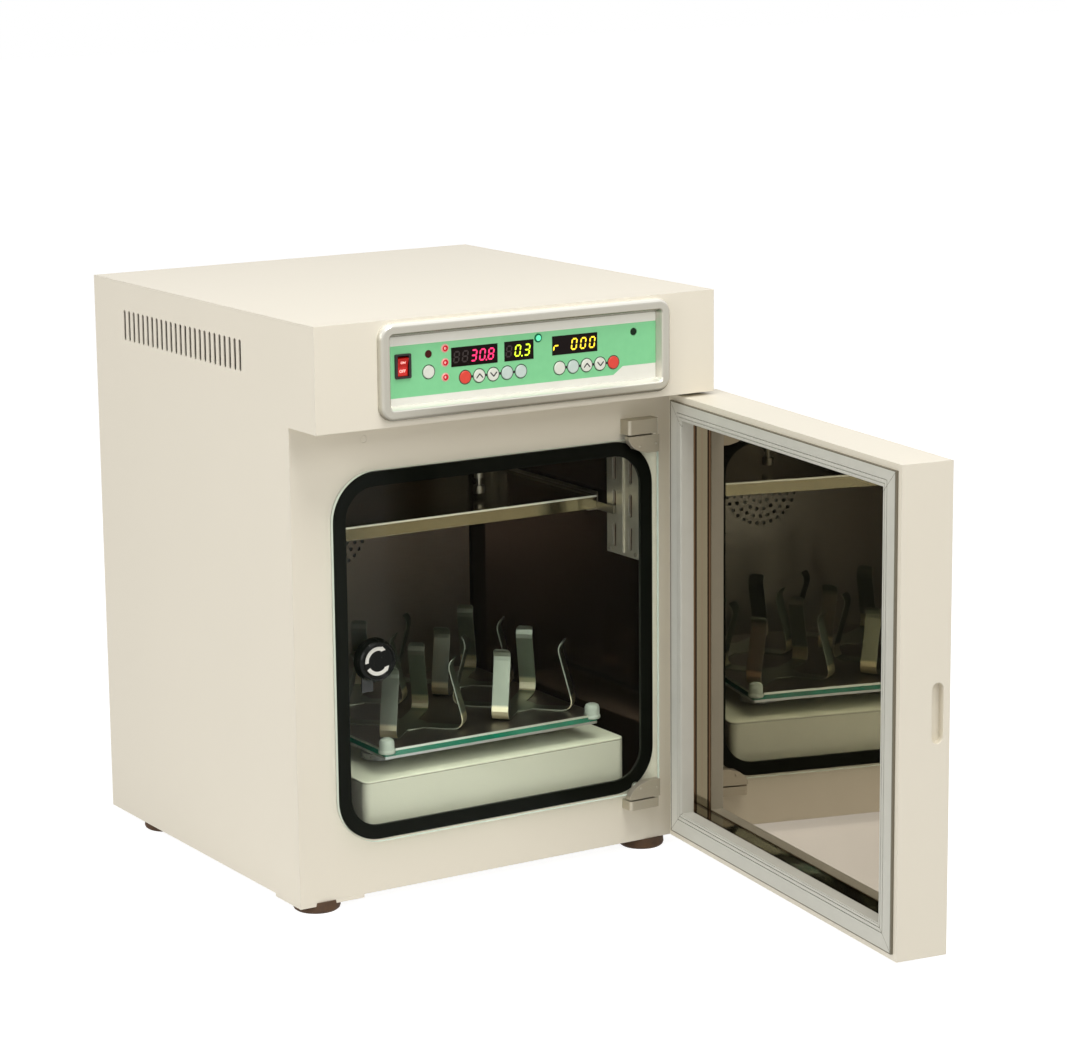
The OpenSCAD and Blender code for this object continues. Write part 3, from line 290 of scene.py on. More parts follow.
zinc = Finish("zinc_plated_steel", {"Metallic": 1.0})
zinc.vary(zinc.cloud(300, 3), srgb(150, 150, 148), srgb(196, 195, 190), 0.28, 0.2)
zinc.feed("Normal", zinc.relief(zinc.cloud(2500), 0.03 * mm, 0.4))

facing_back = Matrix.Rotation(-math.pi / 2, 4, "X")
back_screws = [(x, z) for x in (-250, 250) for z in (30, 190, 350, 510, 660)] + [(-90, 30), (90, 30)]
settle(spread(pan_screw(3.6 * mm, 2 * mm),
              [Matrix.Translation(at(x, casing_depth, z)) @ facing_back for x, z in back_screws]),
       "back_panel_screws", "cabinet", zinc)

# Feet
# Four moulded rubber feet, screwed to the base pan. The rubber is brown-black and dusty, and mottled a little
# where it has weathered.
rubber = Finish("brown_rubber")
rubber.vary(rubber.cloud(120, 4), srgb(46, 30, 18), srgb(98, 70, 44), 0.62, 0.25)
rubber.feed("Normal", rubber.relief(rubber.cloud(700, 3), 0.15 * mm, 0.5))
rubber.coat("feet")

# Chamber
# A welded liner of thin polished stainless steel, with a perforated duct cover, a probe under its ceiling and
# slotted plates screwed to its walls. Angles hooked into the plates carry a shelf of folded sheet.
polished = Finish("polished_stainless", {"Metallic": 1.0})
# Painted reflection: the steel is coloured dark and reddish, standing in for the dark surroundings and red
# contents it mirrors.
polished.vary(polished.cloud(9, 3), srgb(74, 54, 46), srgb(88, 66, 56), 0.1, 0.08)
polished.feed("Normal", polished.relief(polished.cloud(11, 1), 1.2 * mm, 0.25))
polished.coat("liner")

satin = Finish("satin_stainless", {"Metallic": 1.0})
grain = satin.cloud(60, 2, (1, 40, 40))
satin.vary(grain, srgb(138, 132, 120), srgb(168, 162, 150), 0.26, 0.14)
satin.feed("Normal", satin.relief(grain, 0.05 * mm, 0.2, satin.rounded(0.5 * mm)))
satin.coat("duct_cover", "shelf_rails", "sensor_probe")

highlight_high, highlight_thick = 2.2, 1.6
shelf_front, shelf_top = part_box("shelf")[0].y / mm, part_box("shelf")[1].z / mm
tray = Finish("shelf_sheet")
tray_tone = tray.cloud(18, 3)
tray_edge = tray.rounded(0.9 * mm)
# Painted highlight: a bright, less metallic band along the top of the front lip, and on the rounded edges.
highlight_rim = (tray.along("Z") > shelf_top - highlight_high) * (tray.along("Y") < shelf_front + highlight_thick)
tray_steel = tray.mix(tray_tone, srgb(150, 141, 112), srgb(176, 167, 138))
tray.feed("Base Color", tray.mix(highlight_rim.most(tray.edges(tray_edge, 6)), tray_steel, srgb(255, 252, 236)))
tray.feed("Metallic", 1 - highlight_rim * 0.55)
tray.feed("Roughness", 0.12 + tray_tone * 0.1)
tray.feed("Normal", tray.relief(tray.cloud(30, 1), 0.4 * mm, 0.15, tray_edge))
tray.coat("shelf")

pressed = Finish("bracket_sheet", {"Metallic": 0.7})
pressed_tone = pressed.cloud(80, 3)
pressed_edge = pressed.rounded(0.5 * mm)
pressed_steel = pressed.mix(pressed_tone, srgb(178, 172, 156), srgb(204, 198, 182))
# Painted highlight on the rounded edges.
pressed.feed("Base Color", pressed.mix(pressed.edges(pressed_edge, 3), pressed_steel, srgb(240, 238, 230)))
pressed.feed("Roughness", 0.3 + pressed_tone * 0.15)
pressed.feed("Normal", pressed.relief(pressed_tone, 0.05 * mm, 0.2, pressed_edge))
pressed.coat("wall_brackets")

plate_face = 206.9
plate_screws = [(side, y, z) for side in (-1, 1) for y in (84.5, 139.5, 381.5, 436.5) for z in (354, 474)]
settle(spread(pan_screw(2.8 * mm, 1.4 * mm),
              [Matrix.Translation(at(side * plate_face, y, z)) @ Matrix.Rotation(-side * math.pi / 2, 4, "Y")
               for side, y, z in plate_screws]),
       "wall_bracket_screws", "cabinet", satin)

# Foam
# Yellow foam, cast between the chamber and the casing to keep the heat in. It has the open pores of cut foam
# where its skin is trimmed off.
foam = Finish("cast_foam")
pores = foam.node("ShaderNodeTexVoronoi", {}, {"Vector": foam.spot, "Scale": 500})
foam.vary(pores, srgb(196, 176, 120), srgb(226, 210, 158), 0.85, 0.1)
foam.feed("Normal", foam.relief(pores, 0.4 * mm, 0.6))
foam.coat("insulation")

# Fan and drive
# A fan on its motor behind the chamber, and a motor, a belt and three cranks in the drive housing. Motors are
# enamelled black, turned parts are bare and show their lathe marks, the belt is black rubber.
black_enamel = Finish("black_enamel")
speck = black_enamel.cloud(260, 4)
black_enamel.vary(speck, srgb(34, 34, 36), srgb(52, 52, 54), 0.34, 0.2)
black_enamel.feed("Normal", black_enamel.relief(speck, 0.1 * mm, 0.3, black_enamel.rounded(0.8 * mm)))
black_enamel.coat("fan_motor", "drive_motor")

aluminium = Finish("bare_aluminium", {"Metallic": 1.0})
lathe = aluminium.cloud(900, 2, (0.15, 0.15, 1))
aluminium.vary(lathe, srgb(176, 178, 178), srgb(206, 208, 208), 0.26, 0.2)
aluminium.feed("Normal", aluminium.relief(lathe, 0.05 * mm, 0.3, aluminium.rounded(0.4 * mm)))
aluminium.coat("fan_wheel", "motor_pulley")

turned = Finish("turned_steel", {"Metallic": 1.0})
rings = turned.cloud(1400, 2, (0.1, 0.1, 1))
turned.vary(rings, srgb(138, 138, 140), srgb(182, 182, 184), 0.2, 0.2)
turned.feed("Normal", turned.relief(rings, 0.05 * mm, 0.35, turned.rounded(0.4 * mm)))
turned.coat("drive_crank", "idler_left", "idler_right")

belt = Finish("belt_rubber")
weave = belt.node("ShaderNodeTexWave", {"bands_direction": "Z"},
                  {"Vector": belt.spot, "Scale": 500, "Distortion": 1})
belt.vary(weave, srgb(20, 20, 21), srgb(40, 40, 41), 0.6, 0.2)
belt.feed("Normal", belt.relief(weave, 0.1 * mm, 0.5))
belt.coat("drive_belt")

# Drive housing
# A low box of folded sheet over the drive, closed by a lid, with painted shade in the seam round it. Both are
# sprayed a greener cream than the casing; the flat top of the lid is painted palest, as if more lit, and the
# rounded edges get a painted highlight.
seam_down, seam_half, lid_skin = 2.1, 0.4, 0.3
lid_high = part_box("base_lid")[1].z / mm
cream = Finish("housing_enamel")
cream_tone = cream.cloud(5, 3)
cream_edge = cream.rounded(0.5 * mm)
height = cream.along("Z")
seam_shade = abs(height - lid_high + seam_down) < seam_half
walls = cream.mix(cream_tone, srgb(184, 182, 166), srgb(192, 190, 174))
# Painted light: the flat top of the lid is paler.
sprayed_and_lit_top = cream.mix(height > lid_high - lid_skin, walls, srgb(232, 232, 210))
# Painted highlight on the rounded edges.
lit_edge = cream.mix(cream.edges(cream_edge, 4), sprayed_and_lit_top, srgb(232, 234, 218))
# Painted shade: a dark line where the lid meets the box.
cream.feed("Base Color", cream.mix(seam_shade, lit_edge, srgb(112, 110, 90)))
cream.feed("Roughness", 0.3 + cream_tone * 0.12)
cream.feed("Normal", cream.relief(cream.cloud(1300, 2), 0.05 * mm, 0.25, cream_edge))
cream.coat("base_box", "base_lid")

# Platform
# A plate of green float glass between an aluminium carrier and a polished steel sheet, held at the corners
# by white plastic posts. The long edges of glass and sheet are ground, and the sheet's side faces are painted
# pale as a highlight against its darker top.
plate = Finish("polished_sheet", {"Metallic": 1.0})
smear = plate.cloud(14, 4)
sheet_top = plate.mix(smear, srgb(122, 116, 108), srgb(140, 133, 124))
# Painted highlight: faces that don't look up are pale, and the top stays dark.
plate.feed("Base Color", plate.mix(plate.facing("Z") > 0.5, srgb(226, 232, 222), sheet_top))
plate.feed("Roughness", 0.34 + smear * 0.12)
plate.feed("Normal", plate.relief(plate.cloud(20, 1), 0.3 * mm, 0.1, plate.rounded(0.4 * mm)))
plate.coat("platform_plate")

green_glass = Finish("green_float_glass", {"IOR": 1.5, "Coat Roughness": 0.05})
depth_tone = green_glass.cloud(40, 2)
green_glass.vary(depth_tone, srgb(0, 86, 64), srgb(20, 124, 96), 0.06, 0.06)
green_glass.feed("Coat Weight", 0.5 + depth_tone * 0.4)
green_glass.feed("Normal", green_glass.rounded(0.5 * mm))
green_glass.coat("platform_glass")

nylon = Finish("white_nylon", {"Subsurface Weight": 0.15, "Subsurface Radius": (0.004, 0.004, 0.004)})
milk = nylon.cloud(150, 3)
nylon.vary(milk, srgb(152, 160, 148), srgb(172, 180, 168), 0.32, 0.15)
nylon.feed("Normal", nylon.relief(milk, 0.1 * mm, 0.3, nylon.rounded(0.6 * mm)))
nylon.coat("corner_posts")
aluminium.coat("platform_carrier")

# Clamps
# Two rows of clamps on the platform's sheet: strips of spring steel on a round foot, bent up and waisted to
# grip what stands between them, with a painted highlight just above the foot and on the bends.
highlight_from, highlight_to = 3, 20
spring = Finish("spring_steel", {"Metallic": 1.0})
rub = spring.cloud(45, 3)
bend = spring.rounded(0.4 * mm)
over_plate = spring.along("Z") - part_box("platform_plate")[1].z / mm
# Painted highlight: a pale band just above the foot, fading upwards.
foot_highlight = ((highlight_to - over_plate) * 0.3).least(1).most(0) * (over_plate > highlight_from)
strip_steel = spring.mix(rub, srgb(138, 146, 132), srgb(158, 165, 150))
strip_steel = spring.mix(foot_highlight, strip_steel, srgb(236, 229, 196))
# Painted highlight on the bends.
spring.feed("Base Color", spring.mix(spring.edges(bend, 4), strip_steel, srgb(242, 242, 230)))
spring.feed("Roughness", 0.26 + rub * 0.12)
spring.feed("Normal", spring.relief(spring.cloud(700, 2), 0.02 * mm, 0.1, bend))
spring.coat("flask_clamps")

# Glass door
# A pane of toughened glass with a black rubber seal glued behind its edge. It hangs on two satin steel
# leaves that are clamped to it by screws, and turns on pins under fixed blocks.

# The low index keeps the thin pane from veiling the chamber, and its ground edges are dull.
pane = Finish("clear_glass", {"IOR": 1.13, "Transmission Weight": 1.0, "Base Color": srgb(246, 249, 245)})
pane.feed("Roughness", pane.cloud(6, 3) * 0.02)
pane.feed("Normal", pane.relief(pane.cloud(5, 1), 0.3 * mm, 0.1))
glass = Wire(pane, pane.shader.outputs[0])
ground = pane.node("ShaderNodeBsdfDiffuse", {}, {"Color": srgb(206, 216, 204)})
clear = pane.node("ShaderNodeBsdfTransparent", {}, {"Color": srgb(244, 248, 243)})
in_shadow = pane.node("ShaderNodeLightPath", out="Is Shadow Ray")
pane.join(pane.nodes["Material Output"].inputs["Surface"],
          pane.blend(in_shadow, pane.blend(abs(pane.facing("Y")) < 0.7, glass, ground), clear))
pane.coat("glass_pane")

seal = Finish("seal_rubber", {"Specular IOR Level": 0.3})
seal.vary(seal.cloud(60, 4), srgb(26, 28, 22), srgb(42, 43, 35), 0.38, 0.2)
seal.feed("Normal", seal.relief(seal.cloud(900, 2), 0.1 * mm, 0.3, seal.rounded(0.8 * mm)))
seal.coat("glass_seal")

brushed = Finish("brushed_hinge_steel", {"Metallic": 0.6})
stroke = brushed.cloud(50, 3, (1, 30, 60))
brushed_edge = brushed.rounded(0.6 * mm)
brushed_metal = brushed.mix(stroke, srgb(170, 163, 145), srgb(192, 185, 167))
# Painted highlight on the rounded edges.
brushed.feed("Base Color", brushed.mix(brushed.edges(brushed_edge, 2), brushed_metal, srgb(214, 210, 202)))
brushed.feed("Roughness", 0.38 + stroke * 0.14)
brushed.feed("Normal", brushed.relief(stroke, 0.05 * mm, 0.25, brushed_edge))
brushed.coat("glass_hinges", "hinge_brackets")

leaf_face = 44
leaf_screws = ((187, 491), (209.5, 493), (187, 82), (209.5, 80))
facing_front = Matrix.Rotation(math.pi / 2, 4, "X")
settle(spread(pan_screw(1.7 * mm, 0.9 * mm),
              [Matrix.Translation(at(x, leaf_face, z)) @ facing_front for x, z in leaf_screws]),
       "leaf_screws", "glass_door", brushed)

# Latch knob
# A turned black plastic knob on a steel spindle through the glass, with a black cam behind. Two white arrows
# are inlaid in its face, round the way it turns.
knob_black = Finish("knob_plastic", {"IOR": 1.5, "Specular IOR Level": 0.14})
moulding = knob_black.cloud(200, 3)
knob_black.vary(moulding, srgb(6, 9, 6), srgb(16, 18, 14), 0.2, 0.12)
knob_black.feed("Normal", knob_black.relief(moulding, 0.1 * mm, 0.15, knob_black.rounded(0.8 * mm)))
knob_black.coat("latch_knob")
black_enamel.coat("latch_cam")

knob_at = at(-166.5, 0, 286.5)
inlay_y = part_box("latch_knob")[0].y + 3 * mm


def arrow(tail, tip):
    """A flat bar bent round the knob's middle, from one angle to another in degrees, with a pointed end."""
    radius, width, thickness, point_length = 14.2 * mm, 4.3 * mm, 0.6 * mm, 5.4 * mm
    head_wide, point_wide = 1.45, 0.04
    way = 1 if tip > tail else -1
    sweep = math.radians(abs(tip - tail)) - point_length / radius
    bpy.ops.object.select_all(action="DESELECT")
    bpy.ops.mesh.primitive_plane_add(size=1)
    arc = bpy.context.object
    arc.scale = (width, thickness, 1)
    arc.location = (radius, 0, 0)
    fix(arc)
    neck = Vector((radius * math.cos(sweep), 0, way * radius * math.sin(sweep)))
    ahead = Vector((-math.sin(sweep), 0, way * math.cos(sweep))) * point_length
    bpy.ops.object.mode_set(mode="EDIT")
    bpy.ops.mesh.select_all(action="SELECT")
    bpy.ops.mesh.spin(steps=28, angle=sweep, center=(0, 0, 0), axis=(0, way, 0))
    bpy.ops.mesh.extrude_region_move()
    bpy.ops.transform.resize(value=(head_wide, 1, head_wide), center_override=neck)
    bpy.ops.mesh.extrude_region_move(TRANSFORM_OT_translate={"value": ahead})
    bpy.ops.transform.resize(value=(point_wide, 1, point_wide), center_override=neck + ahead)
    bpy.ops.mesh.select_all(action="SELECT")
    bpy.ops.mesh.normals_make_consistent(inside=False)
    bpy.ops.object.mode_set(mode="OBJECT")
    arc.data.transform(Matrix.Rotation(-math.radians(tail), 4, "Y"))
    return arc


white_inlay = Finish("white_inlay")
white_inlay.vary(white_inlay.cloud(250, 2), srgb(222, 222, 214), srgb(240, 240, 232), 0.4, 0.1)
for name, tail, tip in (("knob_arrow_upper", 184, 50), ("knob_arrow_lower", 212, 335)):
    arc = arrow(tail, tip)
    arc.location = (knob_at.x, inlay_y, knob_at.z)
    settle(arc, name, "latch", white_inlay)

# Outer door
# A painted shell filled with foam. Its inner face holds a polished steel tray and a pale magnetic gasket with
# mitred corners, whose folds line the mouth of the tray.
hinge = next(j for j in frame["joints"] if j["name"] == "outer_door_hinge")
hinge_at = Vector(hinge["pos_m"])
open_angle = math.radians(82.6)
enamel.coat("door_shell")
foam.coat("door_insulation")


def as_closed(finish):
    """Places on the door in mm, as it lies when closed: from the cabinet's middle, its front, and up."""
    shut = Matrix.Rotation(-open_angle, 4, "Z")
    place = finish.node("ShaderNodeMapping", {}, {
        "Vector": finish.spot, "Rotation": (0, 0, -open_angle), "Location": hinge_at - shut @ hinge_at})
    x, y, z = (finish.part(place, axis) for axis in "XYZ")
    return (x - middle_x) / mm, (y - front_y) / mm, z / mm


# Painted reflection: the polished wall of the tray shows the gasket's folds as bands of colour. Each band
# starts at a distance from the front of the head.
tray_wall_from = 34
painted_reflection_bands = ((40, srgb(52, 42, 34)), (42, srgb(128, 106, 86)),
         (48.4, srgb(216, 208, 190)), (50, srgb(118, 98, 66)))
mirror = Finish("mirror_stainless", {"Metallic": 1.0})
tray_y = as_closed(mirror)[1]
ripple = mirror.cloud(7, 2)
tray_floor = mirror.mix(ripple, srgb(162, 152, 136), srgb(174, 164, 148))
tray_wall = srgb(168, 164, 146)
for band_from, reflected_colour in painted_reflection_bands:
    tray_wall = mirror.mix(tray_y > band_from, tray_wall, reflected_colour)
mirror.feed("Base Color", mirror.mix(tray_y < tray_wall_from, tray_wall, tray_floor))
mirror.feed("Roughness", (tray_y > tray_wall_from) * 0.07 + ripple * 0.02)
mirror.feed("Normal", mirror.relief(ripple, 1.0 * mm, 0.12))
mirror.coat("door_liner")

strip_middle_z, strip_half_w, strip_half_h, strip_face = 286.3, 253, 258, 58.6
mitre_half, side_border, end_border = 0.35, 2.4, 1.3
gasket = Finish("pale_gasket")
strip_x, strip_y, strip_z = as_closed(gasket)
side_in = abs(strip_x) - strip_half_w
end_in = abs(strip_z - strip_middle_z) - strip_half_h
mitre = (abs(side_in - end_in) < mitre_half) * (strip_y > strip_face)
seam_shade_band = (end_in > -end_border).most(side_in > -side_border)
skin = gasket.cloud(40, 4)
pale = gasket.mix(skin, srgb(196, 196, 187), srgb(208, 208, 199))
# Painted shade: the outer border is darkened in the seam to the shell; the mitres are dark joints.
gasket.feed("Base Color", gasket.mix(mitre.most(seam_shade_band), pale, srgb(112, 106, 90)))
gasket.feed("Roughness", 0.42 + skin * 0.2)
gasket.feed("Normal", gasket.relief(gasket.cloud(1200, 2), 0.05 * mm, 0.2, gasket.rounded(0.8 * mm)))
gasket.coat("door_gasket")

# Panel frame
# A rounded frame, moulded in plastic and sprayed with silver paint, that is clipped to the head round the
# control panel. Faces that look up are painted paler as highlight, and faces that look down darker as shade.
silver = Finish("silver_paint", {"Metallic": 0.6})
flake = silver.cloud(1800, 2)
silver_edge = silver.rounded(0.8 * mm)
tilt = silver.part(silver_edge, "Z")
flat_silver = silver.mix(flake, srgb(182, 179, 167), srgb(198, 195, 183))
# Painted highlight: faces that look up are paler.
highlit_silver = silver.mix(tilt.most(0), flat_silver, srgb(255, 254, 246))
# Painted shade: faces that look down are darker.
silver.feed("Base Color", silver.mix(((0 - tilt) * 1.5).most(0).least(1), highlit_silver, srgb(140, 136, 124)))
silver.feed("Roughness", 0.2 + flake * 0.08)
silver.feed("Normal", silver.relief(flake, 0.03 * mm, 0.2, silver_edge))
silver.coat("bezel")

# Panel film
# A plastic film on a steel plate, printed from behind with a green band on white. The band's lower edge steps
# up by a slope at the right, and the print round each lamp takes the lamp's colour.
panel_at = (8.25, 0, 615.25)
band_low, band_high = -29, 28.2
step_x, step_slope, step_high = 114.5, 0.7, 9
red_lamps = [(-105.5, 20.7), (-105.5, 5), (-105.5, -11.2)]
cyan_lamp = (14.7, 21.7)
halo = 4.9


def on_panel(finish):
    """Places on the panel in mm from its middle: to the right, and up."""
    return finish.across("X", panel_at), finish.across("Z", panel_at)


def away(across, up, lamp):
    """Distance in mm from the middle of a lamp."""
    dx, dz = across - lamp[0], up - lamp[1]
    return (dx * dx + dz * dz).root()


def away_from_red(across, up):
    """Distance in mm from the nearest red lamp."""
    first, second, third = (away(across, up, lamp) for lamp in red_lamps)
    return first.least(second).least(third)


film = Finish("printed_film", {"Coat Roughness": 0.2})
film_x, film_z = on_panel(film)
step = ((film_x - step_x) * step_slope).most(0).least(step_high)
band = (film_z > step + band_low) * (film_z < band_high)
ink = film.cloud(90, 3)
film_green = film.mix(ink, srgb(127, 210, 149), srgb(139, 220, 161))
film_white = film.mix(ink, srgb(236, 236, 226), srgb(242, 242, 233))
printed = film.mix(band, film_white, film_green)
printed = film.mix(away_from_red(film_x, film_z) < halo, printed, srgb(238, 190, 176))
film.feed("Base Color", film.mix(away(film_x, film_z, cyan_lamp) < halo, printed, srgb(24, 118, 78)))
film.feed("Roughness", 0.34 + ink * 0.12)
film.feed("Normal", film.relief(film.cloud(2200, 2), 0.02 * mm, 0.3))
film.coat("control_panel")

# Windows and figures
# Three windows of smoked plastic, pressed into the plate. Figures of seven slanted bars light up in them, one
# colour to a window, and figures that aren't in use stay dark.
smoke = Finish("smoked_window", {"IOR": 1.5, "Specular IOR Level": 0.1})
smoke.vary(smoke.cloud(50, 2), srgb(14, 6, 5), srgb(24, 13, 11), 0.12, 0.08)
smoke.feed("Normal", smoke.rounded(0.4 * mm))
smoke.coat("display_windows")

window_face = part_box("display_windows")[0].y
figure_w, figure_h, slant, point_low = 6.2, 11.6, 0.14, 6.2
bar_wide, bar_gap, bar_proud = 1.7, 0.9, 0.12
flat_bars = {"a": (0, 0.5), "g": (0, 0), "d": (0, -0.5)}
tall_bars = {"b": (0.5, 0.25), "c": (0.5, -0.25), "e": (-0.5, -0.25), "f": (-0.5, 0.25)}
bar_kinds = (("flat", flat_bars, figure_w - bar_gap, 0), ("tall", tall_bars, figure_h / 2 - bar_gap, 90))
lit_bars = {"8": "abcdefg", "3": "abcdg", "0": "abcdef", "r": "eg"}


def light(name, dim, bright, strength):
    """A finish that glows by itself and shimmers a little."""
    glow = Finish(name, {"Emission Strength": strength, "Roughness": 0.4})
    shimmer = glow.mix(glow.cloud(900, 2), dim, bright)
    glow.feed("Base Color", shimmer)
    glow.feed("Emission Color", shimmer)
    return glow


def bar(length, width, proud):
    """A flat bar with pointed ends along X that stands out towards the front, with its back at y = 0."""
    tip = width * 0.47
    bpy.ops.object.select_all(action="DESELECT")
    bpy.ops.mesh.primitive_plane_add(size=1, rotation=(math.pi / 2, 0, 0))
    strip = bpy.context.object
    strip.scale = (length, width, 1)
    fix(strip)
    bpy.ops.object.mode_set(mode="EDIT")
    bpy.ops.mesh.select_all(action="SELECT")
    bpy.ops.mesh.bevel(offset=tip, offset_type="OFFSET", affect="VERTICES")
    bpy.ops.mesh.select_all(action="SELECT")
    bpy.ops.mesh.extrude_region_move(TRANSFORM_OT_translate={"value": (0, -proud, 0)})
    bpy.ops.mesh.select_all(action="SELECT")
    bpy.ops.mesh.normals_make_consistent(inside=False)
    bpy.ops.object.mode_set(mode="OBJECT")
    return strip


def disc(radius, thickness, eased):
    """A thin round dot that looks to the front, with its middle at the origin and its front edge eased."""
    bpy.ops.object.select_all(action="DESELECT")
    bpy.ops.mesh.primitive_cylinder_add(vertices=20, radius=radius, depth=thickness,
                                        rotation=(math.pi / 2, 0, 0))
    dot = bpy.context.object
    fix(dot)
    pick(dot, lambda middle, normal: normal.y < -0.9)
    bpy.ops.mesh.bevel(offset=eased, segments=1, affect="EDGES")
    bpy.ops.object.mode_set(mode="OBJECT")
    return dot


def row(window, *figures):
    """Figures of a window, each with its distance to the right of the window's middle."""
    return [(figure, window[0] + right, window[1]) for figure, right in figures]


def show_figures(name, text, finish):
    """Seven-segment figures: text is a list of (figure, x, z) in mm from the middle of the panel."""
    lean = Matrix.Identity(4)
    lean[0][2] = slant
    for kind, bars, length, turn in bar_kinds:
        places = [Matrix.Translation(at(panel_at[0] + x, 0, panel_at[2] + z)) @ lean
                  @ Matrix.Translation(Vector((bars[b][0] * figure_w, 0, bars[b][1] * figure_h)) * mm)
                  @ Matrix.Rotation(math.radians(turn), 4, "Y")
                  for figure, x, z in text for b in lit_bars[figure] if b in bars]
        strip = spread(bar(length * mm, bar_wide * mm, bar_proud * mm), places)
        strip.location.y = window_face - front_y
        settle(strip, "%s_%s" % (name, kind), "cabinet", finish)


def show_point(name, window, right, finish):
    """The decimal point of a window, low down between two figures."""
    dot = disc(0.95 * mm, bar_proud * mm, 0.04 * mm)
    dot.location = at(panel_at[0] + window[0] + right, 0, panel_at[2] + window[1] - point_low)
    dot.location.y = window_face - bar_proud / 2 * mm
    settle(dot, name, "cabinet", finish)


temperature, gas_share, speed = (-68, 9.7), (-10.5, 10), (63, 11)
red_light = light("pink_red_figures", srgb(255, 22, 90), srgb(255, 66, 130), 1.0)
lime_light = light("lime_figures", srgb(205, 240, 20), srgb(225, 255, 60), 1.0)
amber_light = light("yellow_figures", srgb(245, 205, 30), srgb(255, 225, 60), 1.0)
unlit = light("unlit_figures", srgb(38, 26, 24), srgb(46, 33, 30), 0.0)
show_figures("temperature", row(temperature, ("3", -0.8), ("0", 10.2), ("8", 21.2)), red_light)
show_point("temperature_point", temperature, 15.0, red_light)
show_figures("gas_share", row(gas_share, ("0", -1.6), ("3", 10.4)), lime_light)
show_point("gas_share_point", gas_share, 3.6, lime_light)
show_figures("speed", row(speed, ("r", -24.4), ("0", -1), ("0", 11), ("0", 23)), amber_light)
show_figures("unlit", row(temperature, ("8", -23), ("8", -12)) + row(gas_share, ("8", -13.2)), unlit)

# Lamps
# Plastic lenses pressed into the plate: three lit red lamps in a column, whose cores show as a slit, a lit
# cyan lamp, and two dark lenses, one towards each end of the panel.
lens_radius, red_radius, core_radius, lamp_reach = 3.3, 3.5, 1.5, 7
slit_x, slit_half, lamp_strength = -104.8, 0.45, 0.25
lamps = Finish("lamp_lenses", {"Specular IOR Level": 0.15, "Emission Strength": 1.0})
lamp_x, lamp_z = on_panel(lamps)
lamp_tone = lamps.cloud(400, 2)
red_away = away_from_red(lamp_x, lamp_z)
cyan_away = away(lamp_x, lamp_z, cyan_lamp)
core = lamps.mix(abs(lamp_x - slit_x) < slit_half, srgb(250, 190, 186), srgb(140, 14, 34))
red_lens = lamps.mix(red_away < lens_radius, srgb(238, 172, 162), srgb(196, 16, 40))
red_lens = lamps.mix(red_away < core_radius, red_lens, core)
cyan_lens = lamps.mix(cyan_away < lens_radius, srgb(0, 110, 70), srgb(110, 244, 196))
left_lens = lamps.mix(lamp_tone, srgb(52, 12, 10), srgb(84, 24, 18))
right_lens = lamps.mix(lamp_tone, srgb(10, 30, 14), srgb(22, 46, 24))
dark_lens = lamps.mix(lamp_x > 0, left_lens, right_lens)
lens = lamps.mix(cyan_away < lamp_reach, lamps.mix(red_away < lamp_reach, dark_lens, red_lens), cyan_lens)
glowing = (red_away < red_radius).most(cyan_away < lens_radius)
lamps.feed("Base Color", lens)
lamps.feed("Emission Color", lamps.mix(glowing * lamp_strength, (0, 0, 0, 1), lens))
lamps.feed("Roughness", 0.15 + lamp_tone * 0.1)
lamps.feed("Normal", lamps.rounded(0.4 * mm))
lamps.coat("indicator_lamps")

# Circuit board
# A green glass-fibre board with etched tracks, screwed on stand-offs behind the panel. It carries the lamps,
# the figures and the switches under the keys.
board = Finish("circuit_board")
tracks = board.node("ShaderNodeTexBrick", {}, {
    "Vector": board.spot, "Scale": 180, "Color1": srgb(12, 84, 48), "Color2": srgb(16, 96, 56),
    "Mortar": srgb(30, 120, 76)})
board.feed("Base Color", tracks)
board.feed("Roughness", 0.3 + board.cloud(300) * 0.2)
board.coat("control_board")

# Mains switch
# A red rocker of clear plastic with a lamp inside, on a pin in a black moulded body that snaps into the
# panel. It is switched on and lit, and its two words are moulded on its facets.
black_moulding = Finish("black_moulding")
matt = black_moulding.cloud(500, 3)
black_moulding.vary(matt, srgb(20, 16, 15), srgb(34, 28, 26), 0.34, 0.2)
black_moulding.feed("Normal", black_moulding.relief(matt, 0.1 * mm, 0.3, black_moulding.rounded(0.5 * mm)))
black_moulding.coat("switch_housing")

pin_at = (panel_at[0] - 159, 7.5, panel_at[2] + 5.7)
rocker_tilt, facet_tilt = math.radians(10), math.radians(7)
valley, facet_rise = 5.83, 0.12
lit_from, lit_rise = 4, 0.06
rocker = Finish("red_rocker", {"IOR": 1.49, "Emission Strength": 0.25})
rocker_z = rocker.across("Z", pin_at)
inner_light = rocker.cloud(90, 2)
rocker_red = rocker.mix(inner_light, srgb(176, 14, 14), srgb(214, 30, 24))
rocker.feed("Base Color", rocker.mix(rocker_z < 0, rocker_red, srgb(198, 26, 20)))
rocker.feed("Emission Color", rocker.mix((lit_from - rocker_z) * lit_rise, (0.1, 0, 0, 1), srgb(255, 40, 20)))
rocker.feed("Roughness", 0.16 + inner_light * 0.1)
rocker.feed("Normal", rocker.rounded(0.7 * mm))
rocker.coat("switch_rocker")


